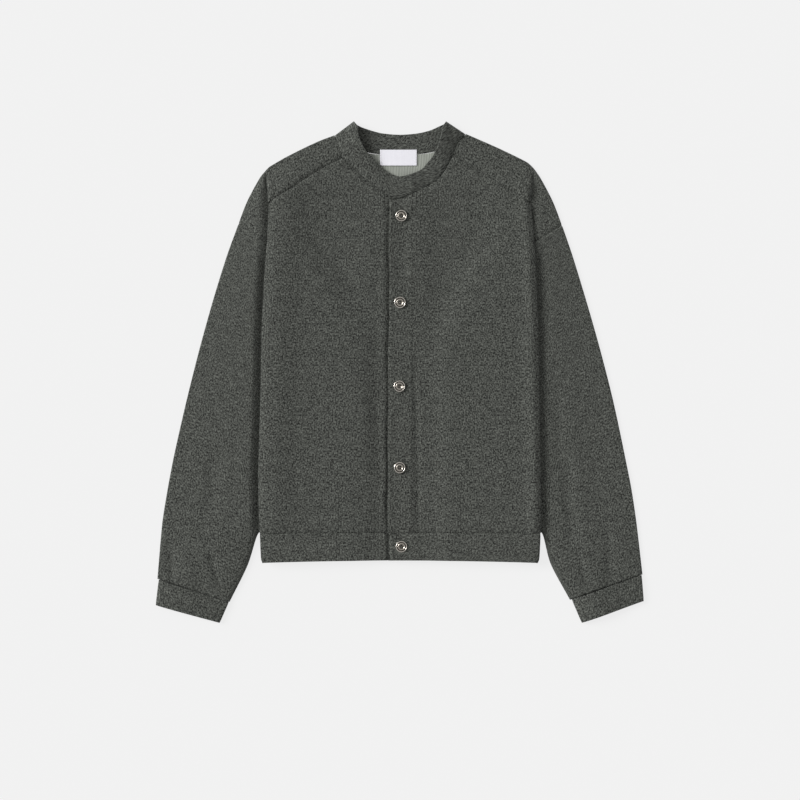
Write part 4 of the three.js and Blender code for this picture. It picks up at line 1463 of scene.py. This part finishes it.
@dataclass
class Button(Piece):
    """A four-hole metal button: a rounded back, a raised rim and a dished middle, sewn on with thread."""

    x: float = 0.0
    y: float = 0.0
    turn: float = 45.0
    height: float = 3.0
    base: float = 9.8
    shank: float = 2.2
    hole_radius: float = 0.95
    hole_offset: float = 2.1
    thread_radius: float = 0.3
    thread_shift: float = 0.32
    thread_steps: int = 14
    edge_rounding: float = 0.12
    turned_steps: int = 48

    def profile(self) -> list[tuple[float, float]]:
        """Returns the section as pairs of radius and height, from the back's middle to the dish's middle."""
        top = self.height
        return [
            (0.0, 0.0), (6.4, 0.0), (7.6, 0.35), (8.2, 0.95), (8.45, 1.5), (8.42, 2.1), (8.2, 2.6),
            (7.8, top - 0.05), (7.4, top), (7.0, top - 0.06), (6.7, 2.6), (6.45, 1.9), (6.15, 1.55),
            (5.75, 1.6), (5.4, 1.95), (5.0, 2.2), (4.5, 2.15), (3.8, 1.95), (3.0, 1.75), (2.0, 1.6),
            (0.0, 1.52),
        ]

    def hole_places(self) -> list[Vector]:
        """Returns the middles of the holes."""
        angles = [math.radians(self.turn + 45 + 90 * index) for index in range(4)]
        return [Vector((self.hole_offset * math.cos(a), self.hole_offset * math.sin(a), 0)) for a in angles]

    def body(self) -> bpy.types.Object:
        """Returns the turned body with its holes cut, at the origin."""
        work = bmesh.new()
        points = [work.verts.new((radius, 0, height)) for radius, height in self.profile()]
        edges = [work.edges.new(pair) for pair in zip(points, points[1:])]
        bmesh.ops.spin(
            work, geom=[*points, *edges], cent=(0, 0, 0), axis=(0, 0, 1), angle=math.tau,
            steps=self.turned_steps, use_merge=True,
        )
        bmesh.ops.remove_doubles(work, verts=work.verts, dist=0.001)
        bmesh.ops.recalc_face_normals(work, faces=work.faces)
        body = object_from(work, f"{self.name}_metal")
        cutter = bmesh.new()
        for place in self.hole_places():
            bmesh.ops.create_cone(
                cutter, cap_ends=True, segments=16, radius1=self.hole_radius, radius2=self.hole_radius,
                depth=self.height * 4, matrix=Matrix.Translation(place),
            )
        holes = object_from(cutter, "holes")
        cut = body.modifiers.new("Holes", "BOOLEAN")
        cut.object, cut.operation, cut.solver = holes, "DIFFERENCE", "EXACT"
        bpy.context.view_layer.update()
        finished = bpy.data.meshes.new_from_object(body.evaluated_get(bpy.context.evaluated_depsgraph_get()))
        body.modifiers.clear()
        body.data = finished
        face_map = finished.uv_layers.new(name="Face")
        for loop in finished.loops:
            place = finished.vertices[loop.vertex_index].co
            face_map.data[loop.index].uv = (place.x * MM, place.y * MM)
        bpy.data.objects.remove(holes)
        return body

    def build(self, finishes: Finishes) -> bpy.types.Object:
        """Makes the button and its thread."""
        body = self.body()
        place = Matrix.Scale(MM, 4) @ Matrix.Translation((self.x, self.y, self.base))
        body.data.transform(place)
        smooth(body)
        round_edges(body, self.edge_rounding * MM, 50)
        self.dress(body, finishes)
        holes = self.hole_places()
        work = bmesh.new()
        for first, second in ((holes[0], holes[1]), (holes[3], holes[2])):
            for offset in (-self.thread_shift, self.thread_shift):
                self.thread(work, first, second, offset)
        bmesh.ops.create_cone(
            work, cap_ends=True, segments=14, radius1=1.9, radius2=1.5, depth=self.shank,
            matrix=Matrix.Translation((0, 0, 0.02 - self.shank / 2)),
        )
        thread = object_from(work, f"{self.name}_thread")
        thread.data.transform(place)
        smooth(thread)
        attach(thread, finishes["thread"])
        return body

    def thread(self, work: bmesh.types.BMesh, first: Vector, second: Vector, offset: float) -> None:
        """Adds one strand of thread over the top, from one hole to another."""
        run = second - first
        aside = Vector((-run.y, run.x, 0)).normalized() * offset
        heights = ((-0.06, 0.6), (0.0, 1.5), (0.12, 1.95), (0.5, 2.25), (0.88, 1.95), (1.0, 1.5), (1.06, 0.6))
        curve = Curve([first + run * share + aside + Vector((0, 0, height)) for share, height in heights])
        last = self.thread_steps
        centres = [curve.along(share) for share in shares(last)]
        rings = []
        for index, centre in enumerate(centres):
            ahead = centres[min(index + 1, last)] - centres[max(index - 1, 0)]
            place = Matrix.Translation(centre) @ ahead.to_track_quat("Z", "Y").to_matrix().to_4x4()
            ring = bmesh.ops.create_circle(work, segments=8, radius=self.thread_radius, matrix=place)
            rings.append(ring["verts"])
        for low, high in zip(rings, rings[1:]):
            bmesh.ops.bridge_loops(work, edges=[*ring_edges(low), *ring_edges(high)])
        for ring in (rings[0], rings[-1]):
            work.faces.new(ring)
        bmesh.ops.recalc_face_normals(work, faces=work.faces)


def ring_edges(ring: Sequence[bmesh.types.BMVert]) -> set[bmesh.types.BMEdge]:
    """Returns the edges that join the points of one ring."""
    return {edge for point in ring for edge in point.link_edges if all(end in ring for end in edge.verts)}


# Studio


@dataclass(frozen=True)
class SoftLight:
    """A large, far, soft light, as even over the whole garment as a big softbox."""

    name: str
    place: tuple[float, float, float]
    power: float
    spread: float

    def build(self) -> None:
        """Adds the light, aimed at the middle of the garment."""
        data = bpy.data.lights.new(self.name, "SUN")
        data.energy, data.angle = self.power, math.radians(self.spread)
        light = bpy.data.objects.new(self.name, data)
        light.location = self.place
        light.rotation_euler = (-Vector(self.place)).to_track_quat("-Z", "Y").to_euler()
        bpy.context.scene.collection.objects.link(light)


@dataclass
class Studio:
    """The pale floor, the soft lights and the camera straight above."""

    frame_width: float = 1.16
    centre: tuple[float, float] = (0.0004, -0.0403)
    distance: float = 3.0
    cloth_height: float = 0.009
    floor_size: float = 8.0
    floor_shade: float = 0.1
    floor_glow: float = 0.79
    world_glow: float = 0.43
    backdrop_glow: float = 0.88
    lights: tuple[SoftLight, ...] = (SoftLight("Key light", (-1.5, 0.55, 0.92), 3.15, 30.0),)

    def camera(self) -> None:
        """Adds the camera."""
        data = bpy.data.cameras.new("Camera")
        data.sensor_width = 36.0
        data.lens = data.sensor_width * (self.distance - self.cloth_height) / self.frame_width
        data.clip_start, data.clip_end = 0.1, 50
        camera = bpy.data.objects.new("Camera", data)
        camera.location = (*self.centre, self.distance)
        bpy.context.scene.collection.objects.link(camera)
        bpy.context.scene.camera = camera

    def build(self) -> None:
        """Adds the floor and the lights."""
        work = bmesh.new()
        bmesh.ops.create_grid(work, x_segments=1, y_segments=1, size=self.floor_size / 2)
        floor = object_from(work, "Floor")
        floor.data.transform(Matrix.Translation((0, 0, -0.0002)))
        material, _, shader = new_material("Pale floor")
        shader.inputs["Base Color"].default_value = (self.floor_shade,) * 3 + (1,)
        shader.inputs["Roughness"].default_value = 1.0
        shader.inputs["Specular IOR Level"].default_value = 0.0
        shader.inputs["Emission Color"].default_value = (1, 1, 1, 1)
        shader.inputs["Emission Strength"].default_value = self.floor_glow
        floor.data.materials.append(material)
        world = bpy.data.worlds.new("Studio")
        world.use_nodes = True
        tree = Tree(world.node_tree)
        lit = world.node_tree.nodes["Background"]
        lit.inputs["Color"].default_value = (1, 1, 1, 1)
        lit.inputs["Strength"].default_value = self.world_glow
        seen = tree.add("ShaderNodeBackground", {"Color": (1, 1, 1, 1), "Strength": self.backdrop_glow})
        direct = tree.add("ShaderNodeLightPath").outputs["Is Camera Ray"]
        values = {"#0": direct, "#1": lit.outputs["Background"], "#2": seen.outputs["Background"]}
        mixed = tree.add("ShaderNodeMixShader", values).outputs["Shader"]
        world.node_tree.links.new(mixed, world.node_tree.nodes["World Output"].inputs["Surface"])
        bpy.context.scene.world = world
        for light in self.lights:
            light.build()


# Soft folds of the body and the sleeves, with x on the wearer's right negative
FRONT_FOLDS_RIGHT = table(
    Fold,
    (-14.9, 252, -17.0, -225, 2.5, -2.3), (-24.5, 240, -24.5, -220, 5.3, 0.9),
    (-52, 200, -49, 40, 20.0, 1.9), (-48, -5, -46, -215, 17.0, 2.2),
)
FRONT_FOLDS_LEFT = table(
    Fold,
    (-12.4, 245, -12.4, -225, 3.4, 0.7), (4, 250, 4, 120, 8.0, -1.3), (40, 245, 40, 60, 14.0, 0.8),
    (24, 0, 25, -215, 5.0, -1.6),
)
SLEEVE_FOLDS_RIGHT = table(
    Fold,
    (-334, -252, -329, -300, 5.0, -2.4), (-310, -262, -306, -305, 7.0, 1.4),
    (-276, -266, -264, -306, 5.0, -2.6), (-262, -120, -275, -200, 12.0, -1.6),
)
SLEEVE_FOLDS_LEFT = table(
    Fold,
    (229, -35, 250, -250, 8.0, -2.0), (248, -60, 270, -240, 9.0, 1.0), (300, -240, 306, -300, 8.0, -2.0),
    (262, -262, 272, -306, 6.0, -2.0),
)

# Each button's place and how far it is turned
BUTTONS = ((2.3, 226.8, 45), (0.4, 101.1, 20), (-0.4, -20.3, 0), (-0.1, -138.3, 8), (2.5, -252.7, 30))

FINISHES = {
    "wool": ClothFinish(
        "Charcoal wool", "melange", (0.0085, 0.0092, 0.008, 1), (0.160, 0.168, 0.150, 1), amount=4.3,
        relief_height=0.0007, relief_strength=0.6, roughness=0.95, specular=0.2, sheen=0.12,
    ),
    "lining": ClothFinish("Lining", "ribbed", (0.17, 0.185, 0.16, 1), (0.47, 0.49, 0.44, 1), 1570.0, 0.0003),
    "label": ClothFinish(
        "Blank label", "ribbed", (0.84, 0.83, 0.89, 1), (0.95, 0.94, 0.99, 1), amount=9000.0,
        relief_height=0.0001,
    ),
    "metal": MetalFinish(),
    "thread": ThreadFinish(),
    "label_thread": ThreadFinish("White thread", (0.6, 0.6, 0.63, 1), (0.92, 0.91, 0.95, 1)),
}


class Cardigan:
    """The whole jacket."""

    def pieces(self) -> list[Piece]:
        """Lists the pieces in the order in which they lie."""
        pieces = [
            Back("back", "wool", "wool", Cut(0.55, 0.575, 0.271), "folded", ("Floor",)),
            HemBand("hem_band", "wool", "wool_band", Cut(1.19, 0.0394), "folded", ("Floor",)),
            Collar("collar", "wool", "wool_band", Cut(0.45, 0.034), "folded", ("Floor",)),
            Lining("lining", "lining", "lining", Cut(0.122, 0.05, 0.0048), "laid", ("back",)),
            Label("label", "label", "label", Cut(0.0534, 0.0231), "laid", ("lining",)),
        ]
        sides = ((RIGHT, FRONT_FOLDS_RIGHT, SLEEVE_FOLDS_RIGHT), (LEFT, FRONT_FOLDS_LEFT, SLEEVE_FOLDS_LEFT))
        for side, folds, sleeve_folds in sides:
            kinds = ("sleeve", "front", "yoke", "cuff")
            sleeve, front, yoke, cuff = (f"{kind}_{side.name}" for kind in kinds)
            cuts = Cut(0.44, 0.57, 0.16), Cut(0.321, 0.545, 0.15), Cut(0.2, 0.06, 0.0105), Cut(0.206, 0.0385)
            pieces += [
                Sleeve(sleeve, "wool", "wool", cuts[0], "folded", ("Floor",), side, sleeve_folds),
                Front(front, "wool", "wool", cuts[1], "folded", (sleeve,), side, folds),
                Yoke(yoke, "wool", "wool", cuts[2], "folded", (front,), side),
                Cuff(cuff, "wool", "wool_band", cuts[3], "folded", ("Floor",), side),
            ]
        for number, (x, y, turn) in enumerate(BUTTONS, 1):
            pieces.append(Button(f"button_{number}", "metal", "button_metal", x=x, y=y, turn=turn))
        return pieces

    def build(self) -> None:
        """Makes the finishes and then every piece."""
        groups = {"melange": melange_group(), "ribbed": ribbed_group()}
        materials = {name: finish.material(groups) for name, finish in FINISHES.items()}
        for piece in self.pieces():
            piece.build(materials)


def main() -> None:
    """Loads the frame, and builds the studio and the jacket."""
    logging.basicConfig(level=logging.INFO, format="%(message)s")
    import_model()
    studio = Studio()
    studio.camera()
    studio.build()
    Cardigan().build()
    bpy.context.scene.view_settings.view_transform = "Standard"
    bpy.context.view_layer.update()


if __name__ == "__main__":
    main()
